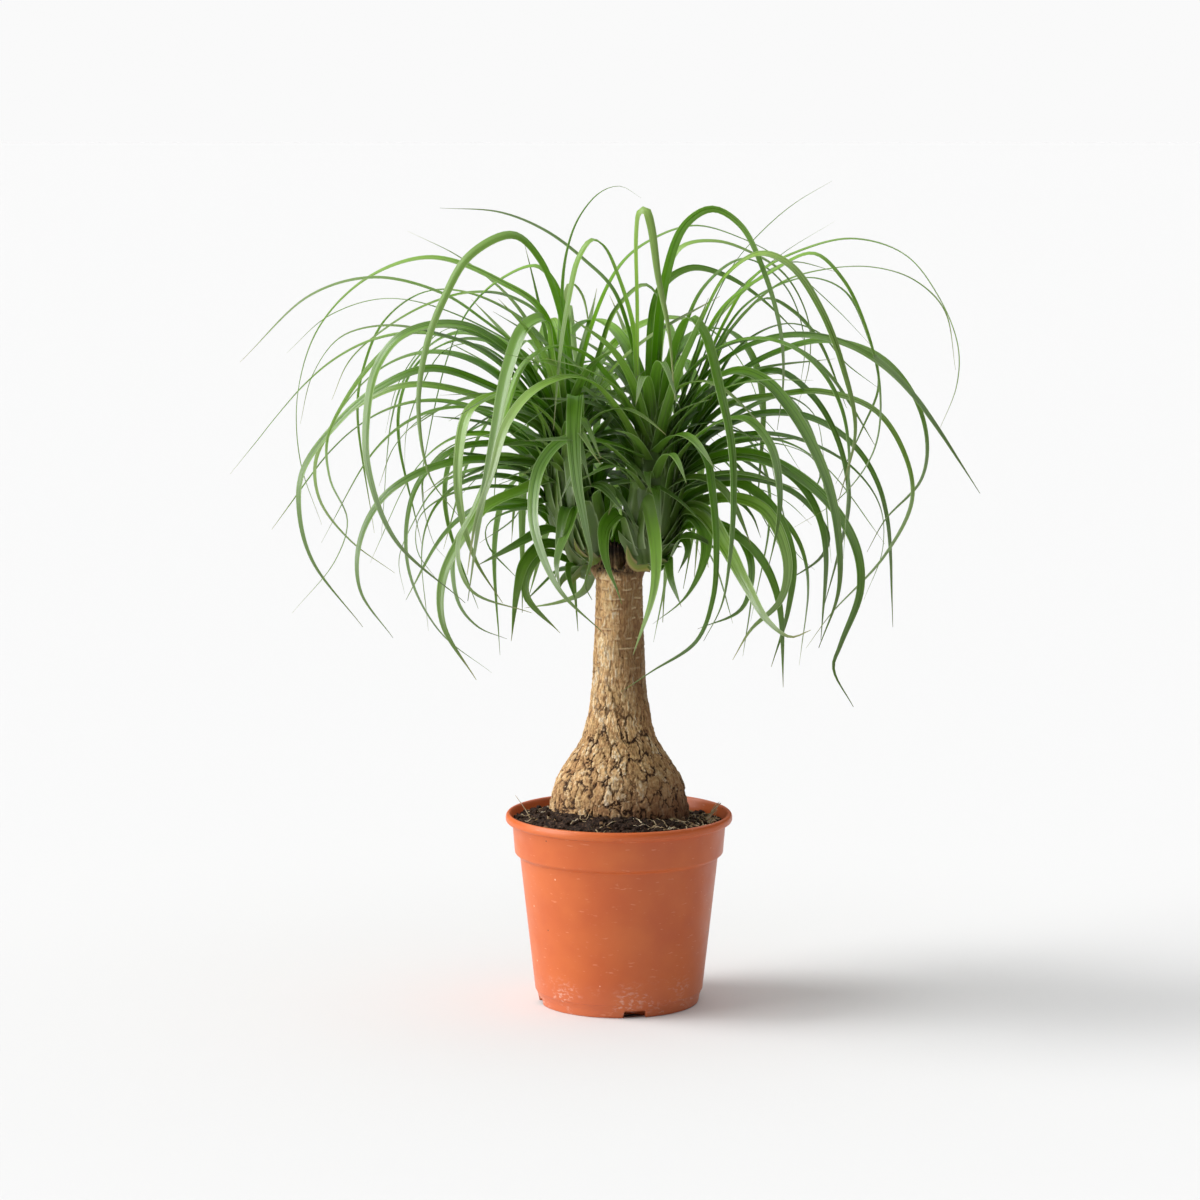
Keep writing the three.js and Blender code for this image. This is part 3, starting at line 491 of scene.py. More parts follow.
TRUNK_TOP = 329
TRUNK_RADIUS = [
    (95, 0), (96, 22), (101, 34), (109, 43), (120, 49.5), (132, 52), (142, 52.6), (152, 51.6), (160, 50.2),
    (168, 47.6), (176, 43.8), (184, 38.6), (192, 33), (199, 28.8), (206, 26), (214, 24), (222, 22.6),
    (232, 21.2), (246, 19.8), (262, 19), (278, 18.4), (300, 17.6), (318, 17.2), (TRUNK_TOP, 17.2),
]
BARK_SIDES = 440
BARK_STEP = 0.75
BARK_FROM = 128
PLATE_WIDTH = {"large": 7, "small": 2.8}
PLATE_HEIGHT = [(128, 10), (150, 14), (180, 24), (200, 36), (235, 48), (262, 60), (329, 60)]
CRACK_DEPTH = {"large": 1.3, "small": 0.45}
SCAR = {"spacing": 7.4, "width": 0.85, "height": 0.45}


def scattered(point):
    """A number from 0 to 1 that belongs to a point, and differs wildly from its neighbours' numbers."""
    return math.sin(point.x * 12.9898 + point.y * 78.233 + point.z * 37.719) * 43758.5453 % 1


def plates(place, row, width, tall, gap):
    """How deep in a crack a place on the bark is, its plate's own number, and how far up its plate it is. The
    plates are width by tall, and gap is half a crack's width."""
    (first, second, *_), (centre, beside, *_) = noise.voronoi(Vector((place.x / width, place.y / width, row)))
    across = beside - centre
    scaled = Vector((across.x / width, across.y / width, across.z / tall))
    to_edge = (second * second - first * first) / 2 / scaled.length
    return max(0.0, 1 - to_edge / gap), scattered(centre), row - centre.z


def bark_at(x, y, z, row, tall):
    """The bark's height at a place in a row of plates so tall, and what its colour is made from: (crack, plate
    tone, scar ring)."""
    place = Vector((x, y, z))
    ragged = noise.noise_vector(place * 0.07) * 3.4 + noise.noise_vector(place * 0.28) * 1.7
    bent = place + ragged + noise.noise_vector(place * 0.8) * 0.8
    bent_row = row + (bent.z - z) / 16
    neck, top = eased(z, 196, 250), eased(z, 254, 282)
    opened = mix(0.55, 1.15, eased(noise.noise(place * 0.13), -0.3, 0.35)) * (1 - top) * (1 - 0.2 * neck)
    large, tone, rise = plates(bent, bent_row, PLATE_WIDTH["large"], tall, 0.95 * opened + 0.01)
    small, small_tone, small_rise = plates(bent * 1.07, bent_row * 2.4 + 7, PLATE_WIDTH["small"], tall / 2.4, 0.6)
    fibre = noise.noise(Vector((x * 0.8, y * 0.8, z * 0.2)))
    grit = noise.noise(Vector((x * 1.9, y * 1.9, z * 1.1)))
    height = -CRACK_DEPTH["large"] * large ** 0.7 * min(1, opened) * (1 - 0.5 * neck)
    height -= CRACK_DEPTH["small"] * small * (1 - 0.4 * neck) * (1 - 0.85 * top)
    height += (0.7 * (tone - 0.6) + 0.6 * rise) * (1 - 0.8 * top)
    height += 0.4 * (small_tone - 0.5 + small_rise) * (1 - 0.7 * top)
    height += 0.35 * fibre + 0.12 * grit
    turn = math.atan2(y, x)
    wave = 1.2 * noise.noise(Vector((2.2 * math.cos(turn), 2.2 * math.sin(turn), z * 0.02)))
    level = (z + wave) / SCAR["spacing"]
    off = abs(level % 1 - 0.5) * SCAR["spacing"]
    patchy = noise.noise(Vector((2.6 * math.cos(turn), 2.6 * math.sin(turn), math.floor(level) * 3.1)))
    shown = eased(patchy, 0, 0.12)
    ring = max(0.0, 1 - off / SCAR["width"]) * shown * eased(z, 240, 275)
    crack = max(eased(large, 0.05, 0.6) * min(1, 1.2 * opened) * (1 - 0.4 * neck), 0.42 * small * (1 - 0.8 * top))
    tone = 0.6 * tone + 0.4 * small_tone + 0.5 * fibre + 0.2 * grit
    # Painted shadow: the tone darkens in a thin line just under each scar ring.
    tone -= 0.7 * max(0.0, 1 - abs((level % 1 - 0.34) * SCAR["spacing"]) / 1.1) * shown * top
    return height + SCAR["height"] * ring, (crack, tone, ring)


def trunk_skin():
    """The bark as a fine tube up the trunk, with its colour values."""
    buried = [96, 101, 109, 118, 124]
    heights = np.array(buried + list(np.arange(BARK_FROM, TRUNK_TOP, BARK_STEP)) + [TRUNK_TOP])
    radii = np.interp(heights, *zip(*TRUNK_RADIUS))
    talls = np.interp(heights, *zip(*PLATE_HEIGHT))
    plate_rows = np.concatenate(((0,), np.cumsum(np.diff(heights) / talls[1:])))
    angles = np.arange(BARK_SIDES) * 2 * math.pi / BARK_SIDES
    rings, looks = [], []
    for z, radius, row, tall in zip(heights, radii, plate_rows, talls):
        ring = []
        for angle in angles:
            x, y = radius * math.cos(angle), radius * math.sin(angle)
            height, look = bark_at(x, y, z, row, tall)
            out = radius + height * eased(z, 118, 134) - 1.2 * eased(z, 325, 329)
            ring.append((out * math.cos(angle), out * math.sin(angle), z))
            looks.append((*look, 0.85 * eased(z + 3 * height, 322, 329)))
        rings.append(ring)
    return *skin(rings), np.array(looks)


def stub_skin(foot, top, radii, ragged, dead):
    """A short woody stub from its foot to its top, with a torn edge and a hollow in its end."""
    foot, top = Vector(foot), Vector(top)
    along = (top - foot).normalized()
    side = along.cross(Vector((0, 1, 0))).normalized()
    over = along.cross(side)
    sides, steps = 90, 22
    rings, looks = [], []
    for i in range(steps + 5):
        t = min(1, i / steps)
        inside = max(0, i - steps)
        ring = []
        for s in range(sides):
            turn = s * 2 * math.pi / sides
            out = math.cos(turn) * side + math.sin(turn) * over
            rough = noise.noise(Vector((out.x * 3.5, out.y * 3.5, t * 1.4 + foot.x)))
            tear = ragged * noise.noise(Vector((out.x * 4.2, out.y * 4.2, foot.x + 5))) * t ** 3
            radius = radii[0] + (radii[1] - radii[0]) * t + 1.1 * rough + 0.4 * noise.noise(out * 14)
            radius *= 1 - 0.22 * inside
            ring.append(foot + (top - foot) * t + along * (tear * (1 - 0.2 * inside) - 1.1 * inside) + out * radius)
            looks.append((0.5 * max(0, -rough * 2), 0.5 + 0.5 * rough, 0, dead * min(1, 0.25 + t + 0.3 * inside)))
        rings.append([tuple(p) for p in ring])
    return *skin(rings), np.array(looks)


def torn_scale(foot, out, height, width, dead):
    """A dry torn scale that an old leaf left on the trunk's top edge."""
    foot, out = Vector(foot), Vector(out).normalized()
    side = out.cross(Vector((0, 0, 1))).normalized()
    rings = []
    for t, wide, thick in ((0, 1, 0.7), (0.35, 0.9, 0.5), (0.7, 0.55, 0.35), (1, 0.12, 0.15)):
        lean = out * (0.2 + 1.2 * t * t) + Vector((0, 0, height * t)) + side * math.sin(5 * t + foot.x) * 0.5
        corners = ((-1, 0), (0, 1), (1, 0), (0, -1))
        rings.append([tuple(foot + lean + side * (a * wide * width / 2) + out * (b * thick / 2))
                      for a, b in corners])
    points, faces = skin(rings)
    return points, faces, np.array([(0.15, 0.5, 0, dead)] * len(points))


# The stubs that the shoots stand on, and the dead stump between them, by foot and top, and the torn scales: how
# many stand round the trunk's edge and each stub, and how far out.
LEFT_STUB = ((-5, 2, 312), (-17.5, 4, 336))
RIGHT_STUB = ((6, -3, 312), (14.5, -6, 337))
STUMP = ((-2, 1, 322), (-2.7, 1, 347))
EDGE_SCALES = {"count": 64, "out": 15.8}
STUB_SCALES = {"count": 40, "out": (7.2, 7.6)}


def torn_edge():
    """Dry scales all round the trunk's top edge and up its stubs."""
    scales = []
    for i in range(EDGE_SCALES["count"]):
        turn = i * 2 * math.pi / EDGE_SCALES["count"] + random.uniform(-0.06, 0.06)
        out = (math.cos(turn), math.sin(turn), 0)
        foot = (EDGE_SCALES["out"] * out[0], EDGE_SCALES["out"] * out[1], random.uniform(320, 328))
        scales.append(torn_scale(foot, out, random.uniform(3, 7), random.uniform(2.4, 5), random.uniform(0.3, 1)))
    for (foot, top), radius in zip((LEFT_STUB, RIGHT_STUB), STUB_SCALES["out"]):
        for _ in range(STUB_SCALES["count"]):
            up, turn = random.uniform(0.55, 1), random.uniform(0, 2 * math.pi)
            out = (math.cos(turn), math.sin(turn), 0)
            centre = np.array(foot) * (1 - up) + np.array(top) * up
            scales.append(torn_scale(centre + radius * np.array(out), out, random.uniform(3, 8),
                                     random.uniform(2.5, 6), random.uniform(0.2, 0.9)))
    return scales


def corky_bark():
    """Cork bark, grown: matt tan plates that each differ a little, dark cracks between them, pale scar rings, each
    with a painted shadow line under it, redder and darker where it meets the soil, painted shade that browns the
    bark towards +X, and brown-black where the wood has died back."""
    material, tree, shader = new_material("corky_bark", IOR=1.4, Roughness=0.86)
    place = add_node(tree, "TexCoord", out="Object")
    look = add_node(tree, "Attribute", out="Vector", attribute_name="bark")
    dead = add_node(tree, "Attribute", out="Fac", attribute_name="dead")
    crack, tone, ring = add_node(tree, "SeparateXYZ", {0: look}).node.outputs
    across, _, height = add_node(tree, "SeparateXYZ", {0: place}).node.outputs
    mottle = add_node(tree, "TexNoise", {"Vector": place, "Scale": 1 / (4 * MM), "Detail": 5})
    patch = add_node(tree, "TexNoise", {"Vector": place, "Scale": 1 / (22 * MM), "Detail": 3})
    grey = add_node(tree, "ValToRGB", {0: patch}, ((0.45, 0), (0.62, 0.4)))
    spots = add_node(tree, "ValToRGB", {0: mottle}, ((0.33, "#a58462"), (0.5, "#ffffff"), (0.68, "#fff7e8")))
    lanes = add_node(tree, "Mapping", {"Vector": place, "Scale": (1, 1, 0.35)})
    grain = add_node(tree, "TexNoise", {"Vector": lanes, "Scale": 1 / (1.5 * MM), "Detail": 3})
    flecks = add_node(tree, "ValToRGB", {0: grain}, ((0.36, "#8a6a4a"), (0.48, "#ffffff"), (0.66, "#fffaf0")))

    # Painted shade: the bark is browner towards +X, and round more of the neck higher up: half is the trunk's half
    # width at a height, in metres.
    half = add_node(tree, "MapRange", {0: height, 1: 0.17, 2: 0.24, 3: 0.055, 4: 0.02})
    round_to = add_node(tree, "Math", {0: across, 1: half}, operation="DIVIDE")
    onset = add_node(tree, "MapRange", {0: height, 1: 0.2, 2: 0.27, 3: 0.35, 4: -0.6})
    past = add_node(tree, "Math", {0: round_to, 1: onset}, operation="SUBTRACT")
    painted_side_shade = add_node(tree, "MapRange", {0: past, 1: 0, 2: 0.9, 3: 0, 4: 0.7})
    # Partly painted shade: damp darkens and reddens the bark low down towards the soil, in patches, and its much
    # stronger share towards +X is painted shade.
    low = add_node(tree, "MapRange", {0: height, 1: 0.186, 2: 0.15, 3: 0, 4: 1.2})
    right = add_node(tree, "MapRange", {0: across, 1: -0.034, 2: 0.012, 3: 0.15, 4: 1.25})
    damp = add_node(tree, "Math", {0: low, 1: mottle}, operation="MULTIPLY")
    damp = add_node(tree, "Math", {0: damp, 1: right}, operation="MULTIPLY", use_clamp=True)
    cracked = add_node(tree, "ValToRGB", {0: crack}, ((0.3, "#8d6a47"), (0.6, "#5c3e26"), (1, "#3a2413")))
    scarred = add_node(tree, "Math", {0: ring, 1: 0.75}, operation="MULTIPLY")
    gone = add_node(tree, "ValToRGB", {0: mottle}, ((0.3, "#0e0805"), (0.58, "#2a1a10"), (0.75, "#5e442e")))

    colour = add_node(tree, "ValToRGB", {0: tone}, ((0, "#a8815a"), (0.3, "#d0a672"), (0.55, "#e0ba88"),
                                                    (0.8, "#eed0a0"), (0.98, "#fbeccf")))
    for share, coat, blend in ((grey, "#b59c6c", "MIX"), (0.6, spots, "MULTIPLY"), (0.6, flecks, "MULTIPLY"),
                               (painted_side_shade, "#6b4a2e", "MIX"), (damp, "#63402d", "MIX"), (crack, cracked, "MIX"),
                               (scarred, "#e2c8a0", "MIX"), (dead, gone, "MIX")):
        colour = add_node(tree, "Mix", {0: share, 6: colour, 7: coat}, out=2, data_type="RGBA", blend_type=blend)
    tree.links.new(colour, shader.inputs["Base Color"])
    bump = add_node(tree, "Bump", {"Height": mottle, "Strength": 0.5, "Distance": 0.35 * MM})
    tree.links.new(bump, shader.inputs["Normal"])
    return material


# Blender draws its noise vectors by the clock unless they are seeded too.
random.seed(31)
noise.seed_set(31)
woody = [trunk_skin(), stub_skin(*LEFT_STUB, (7.4, 7.6), 2, 0.45), stub_skin(*RIGHT_STUB, (7.8, 8), 2, 0.4),
         stub_skin(*STUMP, (9.5, 6.5), 9, 1), *torn_edge()]
looks = np.concatenate([look for *_, look in woody])
trunk = mesh_piece("swollen_trunk", *merged([body[:2] for body in woody])[:2], bark=looks[:, :3],
                   dead=looks[:, 3])
trunk.data.materials.append(corky_bark())
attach(trunk, "root")
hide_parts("trunk")

# ------------------------------------------------------------------------------------------------------- heads
# Two heads sprouted from stubs beside the cut. Each is a short shoot clasped all round by the roots of its
# leaves: channelled straps a finger wide that arch over and hang, thinning to dry threads. A head grew as one.

# Each row is a leaf that the front view shows: how far up its shoot it grows (0 to 1), how many millimetres its
# tip lies behind its root, its width against a common leaf's, and the places that it is seen to pass.
TRACED_LEAVES = {
    "left": [
        (0.72, -20, 0.75, (530, 362), (480, 317), (440, 292), (374, 277), (310, 295), (240, 362)),
        (0.78, 10, 0.85, (545, 315), (500, 281), (432, 257), (370, 276), (320, 325), (298, 390),
         (300, 460), (322, 525)),
        (0.6, 55, 0.6, (545, 375), (480, 325), (392, 298), (330, 315), (287, 353)),
        (0.5, -30, 1, (545, 420), (495, 357), (440, 334), (385, 325), (340, 337), (312, 375), (300, 424)),
        (0.66, 40, 0.9, (548, 325), (510, 296), (470, 292), (430, 303), (390, 325), (350, 360), (332, 400)),
        (0.6, 75, 0.7, (550, 350), (490, 300), (430, 290), (385, 320), (362, 375), (358, 415), (375, 533)),
        (0.5, -70, 1.2, (530, 375), (480, 330), (440, 323), (400, 336), (376, 368), (366, 420), (368, 470),
         (395, 540), (465, 603)),
        (0.4, -15, 0.9, (555, 425), (495, 388), (430, 368), (375, 390), (335, 425), (303, 470), (299, 510),
         (312, 560), (363, 627)),
        (0.36, 25, 0.8, (550, 435), (495, 402), (415, 384), (370, 398), (335, 425), (316, 460), (320, 500),
         (350, 540), (395, 573)),
        (0.48, -45, 1, (545, 390), (500, 345), (450, 325), (410, 332), (375, 360), (345, 400), (327, 440),
         (330, 480), (347, 520), (335, 560), (292, 613)),
        (0.4, 0, 0.9, (550, 440), (520, 418), (470, 406), (430, 413), (395, 445), (379, 486)),
        (0.55, 85, 0.5, (540, 385), (500, 350), (455, 327), (425, 345), (398, 385), (386, 433)),
        (0.5, 65, 0.5, (540, 400), (480, 345), (445, 350), (420, 390), (407, 430), (405, 472)),
        (0.85, -100, 0.8, (574, 400), (562, 320), (540, 260), (513, 235), (470, 255), (443, 300),
         (425, 350), (418, 410), (430, 478), (458, 516)),
        (0.8, 40, 0.9, (568, 400), (562, 300), (538, 266), (500, 279), (468, 310), (448, 355), (430, 430),
         (422, 490), (435, 545), (446, 558)),
        (0.3, 60, 0.8, (540, 437), (490, 434), (445, 450), (424, 478), (425, 505)),
        (0.3, -20, 0.8, (540, 448), (490, 443), (455, 449), (420, 480), (407, 520), (410, 575), (440, 632),
         (492, 673)),
        (0.24, -35, 1, (545, 470), (490, 459), (435, 466), (385, 495), (360, 540), (360, 590), (393, 638)),
        (0.2, 30, 0.8, (545, 478), (490, 467), (440, 484), (412, 525), (399, 560), (405, 594)),
        (0.14, 0, 0.8, (550, 497), (500, 486), (455, 492), (420, 516), (417, 550), (437, 580)),
        (0.2, -80, 1.25, (555, 478), (520, 490), (485, 507), (460, 540), (442, 580), (443, 625),
         (476, 680)),
        (0.6, -140, 1.35, (562, 430), (552, 350), (545, 317), (525, 325), (508, 365), (492, 445),
         (480, 510), (467, 601)),
        (0.4, -115, 1.1, (565, 440), (530, 400), (497, 394), (470, 408), (458, 455), (460, 510),
         (475, 560), (502, 603)),
        (0.12, -50, 0.8, (560, 500), (520, 506), (480, 513), (455, 545), (458, 602), (478, 627),
         (507, 639)),
        (0.1, 10, 0.8, (560, 513), (540, 508), (510, 511), (487, 525), (488, 545), (519, 580)),
        (0.06, -60, 1.1, (560, 524), (540, 531), (515, 545), (478, 565)),
        (0.24, 50, 0.8, (560, 470), (540, 463), (525, 485), (517, 515), (480, 543)),
        (0.16, 70, 0.5, (562, 500), (535, 480), (517, 500), (512, 543)),
        (0.5, -185, 1.35, (575, 420), (575, 394), (573, 430), (576, 480), (585, 530), (590, 560),
         (584, 585), (591, 600)),
        (0.16, -120, 1.7, (580, 500), (574, 505), (566, 530), (556, 565), (560, 592)),
        (0.05, -40, 0.8, (572, 540), (552, 545), (530, 568), (526, 595), (560, 633)),
        (0.08, -75, 0.9, (570, 530), (545, 542), (525, 562), (517, 590), (511, 641)),
        (0.05, 30, 0.5, (575, 545), (565, 560), (525, 602)),
        (0.05, 60, 0.6, (592, 565), (585, 590), (560, 602), (525, 608)),
        (0.05, -60, 0.5, (575, 545), (568, 570), (576, 603)),
        (0.3, -60, 1.1, (588, 505), (597, 490), (606, 487), (613, 497), (608, 515)),
        (0.95, -30, 0.55, (568, 380), (562, 290), (568, 245), (580, 215), (600, 192), (620, 186),
         (641, 198)),
        (0.8, 60, 0.5, (560, 400), (545, 355), (515, 303), (462, 258), (408, 231)),
        (0.9, 40, 0.4, (560, 400), (545, 330), (535, 285), (524, 241)),
        (0.85, 90, 1, (570, 400), (565, 320), (572, 283), (583, 295), (592, 340)),
        (0.6, -75, 1.1, (585, 400), (600, 350), (615, 310), (645, 284), (661, 300), (672, 350), (676, 420),
         (683, 500), (702, 560)),
        (0.9, 20, 0.8, (590, 330), (620, 265), (650, 240), (695, 225), (745, 239), (780, 258), (800, 275),
         (840, 312), (870, 344)),
    ],
    "right": [
        (0.72, 0, 0.85, (690, 400), (725, 320), (755, 275), (800, 250), (853, 238), (905, 254), (938, 295),
         (958, 345), (957, 385), (938, 433)),
        (0.66, 60, 0.7, (690, 400), (730, 330), (780, 283), (830, 268), (875, 267), (915, 280), (945, 310),
         (956, 370)),
        (0.8, -40, 0.9, (680, 400), (720, 310), (770, 272), (813, 253), (842, 278), (865, 325), (880, 390),
         (874, 450), (840, 498), (793, 528)),
        (0.7, 40, 0.7, (690, 400), (740, 310), (780, 284), (812, 277), (845, 291), (868, 335), (879, 385),
         (862, 430), (836, 484)),
        (0.8, -70, 1.25, (660, 420), (690, 345), (725, 275), (760, 253), (790, 265), (820, 308),
         (842, 365), (855, 430), (838, 502)),
        (0.45, -120, 1.3, (668, 450), (700, 390), (735, 370), (765, 380), (790, 408), (812, 445),
         (828, 485), (837, 530), (838, 590), (818, 648)),
        (0.92, -30, 0.9, (655, 380), (665, 280), (685, 225), (712, 209), (740, 225), (763, 270),
         (780, 330), (783, 380), (777, 430)),
        (0.86, 30, 1, (655, 380), (660, 300), (680, 248), (715, 241), (750, 252), (785, 275), (808, 320),
         (809, 365), (798, 405)),
        (0.6, 60, 0.9, (690, 430), (730, 330), (765, 298), (795, 312), (820, 342), (847, 408)),
        (0.56, 20, 1, (690, 440), (735, 350), (785, 323), (820, 333), (845, 362), (877, 387)),
        (0.5, -20, 1, (690, 430), (740, 372), (780, 350), (825, 340), (878, 355), (912, 392), (927, 440),
         (921, 480), (885, 520), (867, 552)),
        (0.42, -50, 1, (690, 440), (730, 404), (775, 395), (820, 391), (875, 410), (905, 455), (912, 500),
         (885, 555), (830, 615), (806, 648)),
        (0.3, 10, 0.9, (690, 470), (720, 441), (755, 433), (800, 439), (850, 465), (880, 505), (883, 550),
         (864, 600)),
        (0.3, 70, 0.7, (690, 470), (735, 451), (775, 443), (812, 457), (821, 475), (803, 507)),
        (0.3, -90, 1.2, (680, 475), (735, 452), (775, 462), (825, 498), (855, 545), (860, 590), (840, 645),
         (833, 668), (853, 707)),
        (0.2, -30, 0.85, (680, 490), (740, 477), (795, 493), (828, 535), (822, 556), (782, 584)),
        (0.2, 40, 0.7, (680, 495), (740, 485), (785, 500), (812, 525)),
        (0.2, -60, 1, (680, 500), (735, 482), (770, 505), (792, 555), (788, 610), (771, 667)),
        (0.15, -100, 1, (680, 510), (730, 497), (765, 510), (787, 560), (780, 600), (750, 630), (732, 660)),
        (0.35, 20, 1.1, (680, 470), (715, 432), (750, 420), (772, 455), (783, 510), (795, 550), (815, 570)),
        (0.35, -130, 1.1, (675, 460), (710, 425), (745, 418), (770, 445), (779, 490), (777, 525),
         (767, 570)),
        (0.48, -20, 1.1, (680, 450), (730, 390), (775, 370), (812, 395), (838, 440), (849, 500),
         (838, 555), (822, 613)),
        (0.4, 50, 0.9, (680, 460), (740, 412), (785, 396), (815, 415), (826, 470)),
        (0.8, 50, 0.4, (680, 400), (710, 310), (735, 262), (765, 228), (795, 203), (832, 181)),
        (0.74, 20, 0.4, (690, 390), (730, 300), (780, 255), (835, 221)),
        (0.2, -165, 1.5, (646, 515), (646, 495), (652, 520), (656, 560), (651, 600), (632, 655)),
        (0.1, -130, 1.1, (638, 520), (622, 511), (606, 524), (603, 545), (608, 570), (616, 589),
         (621, 604)),
        (0.4, -150, 0.75, (655, 475), (668, 447), (688, 437), (706, 458), (712, 490), (716, 545),
         (712, 600), (695, 642), (650, 672), (620, 692)),
        (0.65, -125, 1.3, (660, 420), (674, 345), (690, 316), (704, 332), (720, 390), (731, 445),
         (733, 500), (729, 560), (721, 605), (703, 641)),
        (0.14, -140, 1.3, (665, 515), (682, 507), (702, 511), (725, 545), (745, 583), (768, 622),
         (790, 637), (810, 630)),
        (0.12, -105, 1.1, (668, 525), (690, 513), (704, 530), (705, 555), (685, 597), (652, 624)),
        (0.06, -60, 0.8, (655, 540), (665, 548), (671, 580), (681, 607)),
        (0.08, -30, 0.9, (660, 540), (680, 533), (688, 548), (678, 573)),
        (0.06, -50, 1.1, (660, 548), (685, 535), (705, 541), (720, 554)),
        (0.2, -10, 1.2, (690, 505), (735, 500), (752, 515), (761, 538)),
        (0.1, -80, 0.7, (700, 520), (732, 530), (748, 552), (751, 580), (740, 610), (697, 629)),
        (0.85, 40, 0.5, (640, 380), (615, 292), (585, 260), (545, 230), (500, 212), (440, 208)),
        (0.86, -50, 1.25, (638, 380), (634, 330), (620, 280), (603, 244), (592, 239), (578, 258),
         (568, 300), (560, 350), (553, 430)),
        (0.95, -95, 0.85, (640, 400), (637, 300), (636, 230), (639, 212), (645, 210), (650, 224), (658, 280),
         (668, 330), (674, 400)),
        (0.5, -130, 1.2, (640, 430), (615, 385), (585, 353), (555, 345), (525, 362), (508, 400),
         (495, 455), (475, 505), (457, 545), (470, 590), (531, 613)),
        (0.45, -150, 1.2, (640, 450), (615, 405), (590, 380), (565, 376), (530, 392), (505, 425),
         (490, 475), (475, 520), (466, 575)),
        (0.3, -165, 1.25, (640, 480), (615, 450), (590, 436), (562, 440), (540, 465), (532, 510),
         (538, 545), (560, 592), (601, 632)),
        (0.75, 45, 1.1, (660, 420), (680, 340), (705, 285), (745, 258), (785, 285), (805, 340), (800, 390)),
        (0.7, 85, 1, (670, 440), (700, 345), (745, 290), (790, 262), (838, 272)),
        (0.86, 70, 0.7, (650, 380), (660, 290), (690, 268), (725, 275), (760, 297), (805, 340)),
    ],
}

HEADS = {
    "left": {"stub": LEFT_STUB, "shoot": ((-36, 7, 372), (-40, 8, 398), (-40, 8, 424)), "seed": 7,
             "from": 25, "to": 205},
    "right": {"stub": RIGHT_STUB, "shoot": ((23, -9, 374), (24, -10, 400), (24, -10, 430)), "seed": 11,
              "from": -25, "to": 150},
}
LEAVES_BEHIND = 24
FIT_GAP = 0.4
GOLDEN_SHARE = 0.381966
ROOTED = (0.12, 0.92)  # the stretch of a shoot that leaves grow from
SHOOT_RADIUS = ((0, 9.6), (0.15, 12.5), (0.4, 15.5), (0.75, 13.5), (1, 7))
BLADE_WIDTH = ((0, 15), (0.05, 14), (0.12, 12.4), (0.25, 11.4), (0.5, 9), (0.7, 6.2), (0.82, 4), (0.9, 2.2),
               (0.95, 1.1), (1, 0.4))
BLADE_THICK = 0.55
ROLL = 34  # degrees by which a leaf that grows sideways shows its upper face to the front
BLADE_STEP = 4.5
ACROSS = np.linspace(-1, 1, 7)
UP = np.array((0.0, 0.0, 1.0))


def draws(seed):
    """Random draws from 0 to 1, the same as those by which the solid heads grew."""
    state = seed
    while True:
        state = (state * 1664525 + 1013904223) % 2 ** 32
        yield state / 2 ** 32


def unit(vector):
    return vector / np.linalg.norm(vector)


def smooth_line(points, steps=24):
    """A dense line on the centripetal Catmull-Rom curve through the points, and how far along each place is."""
    points = [np.asarray(point, float) for point in points]
    points = [2 * points[0] - points[1], *points, 2 * points[-1] - points[-2]]
    line = []
    for before, start, end, after in zip(points, points[1:], points[2:], points[3:]):
        gaps = [max(1e-4, np.linalg.norm(b - a)) ** 0.5 for a, b in ((before, start), (start, end), (end, after))]
        leave = (start - before) / gaps[0] - (end - before) / (gaps[0] + gaps[1]) + (end - start) / gaps[1]
        arrive = (end - start) / gaps[1] - (after - start) / (gaps[1] + gaps[2]) + (after - end) / gaps[2]
        leave, arrive = leave * gaps[1], arrive * gaps[1]
        t = np.arange(steps)[:, None] / steps
        line.append(start + leave * t + (3 * (end - start) - 2 * leave - arrive) * t ** 2
                    + (2 * (start - end) + leave + arrive) * t ** 3)
    line = np.concatenate((*line, points[-2][None]))
    return line, np.concatenate(((0,), np.cumsum(np.linalg.norm(np.diff(line, axis=0), axis=1))))


def at_share(line, passed, share):
    """The points of a dense line at shares of its length."""
    return np.stack([np.interp(np.asarray(share) * passed[-1], passed, line[:, k]) for k in range(3)], -1)


def place_of(point):
    """The place in the view where a point is seen."""
    away, rise = EYE["distance"] + point[1], point[2] - EYE["height"]
    reach = away * math.cos(EYE["dip"]) - rise * math.sin(EYE["dip"])
    lift = rise * math.cos(EYE["dip"]) + away * math.sin(EYE["dip"])
    return EYE["axis_at"] + EYE["focus"] * point[0] / reach, MIDDLE - EYE["focus"] * lift / reach


def traced_line(root, back, seen):
    """A leaf's line through the places where it is seen, its depth easing from its root's to its tip's."""
    route = np.array([place_of(root), *seen])
    passed = np.concatenate(((0,), np.cumsum(np.linalg.norm(np.diff(route, axis=0), axis=1))))
    depths = [root[1] + back * eased(share, 0, 1) for share in passed / passed[-1]]
    return [root] + [sighted(*place, depth) for place, depth in zip(seen, depths[1:])]


def arched_line(root, azimuth, lift, fall, length, sway):
    """The line of a leaf behind those: it leaves the shoot at its lift above level and bends over to its fall."""
    steps = 12
    line = [root]
    for i in range(steps):
        t = (i + 0.5) / steps
        slope = math.radians(mix(lift, fall, eased(t * 1.15, 0, 1)))
        heading = math.radians(azimuth + sway * t * t)
        way = np.array((math.cos(slope) * math.cos(heading), math.cos(slope) * math.sin(heading), math.sin(slope)))
        line.append(line[-1] + way * length / steps)
    return line


# A leaf that would have run through the other head or the trunk was grown a little aside: its tip 3 mm further
# back for each step, or its azimuth turned by one degree. The solid head shows which step it took.
ASIDE = (0, 5, -5, 10, -10, 16, -16, 23, -23, 31, -31)
TIP_NEAR = 0.4


def taken_aside(make_line, solid):
    """The line that ends where the solid head has a tip."""
    for step in ASIDE:
        line = make_line(step)
        if solid.find_nearest(Vector(line[-1]) * MM)[3] < TIP_NEAR * MM:
            return line
    return None


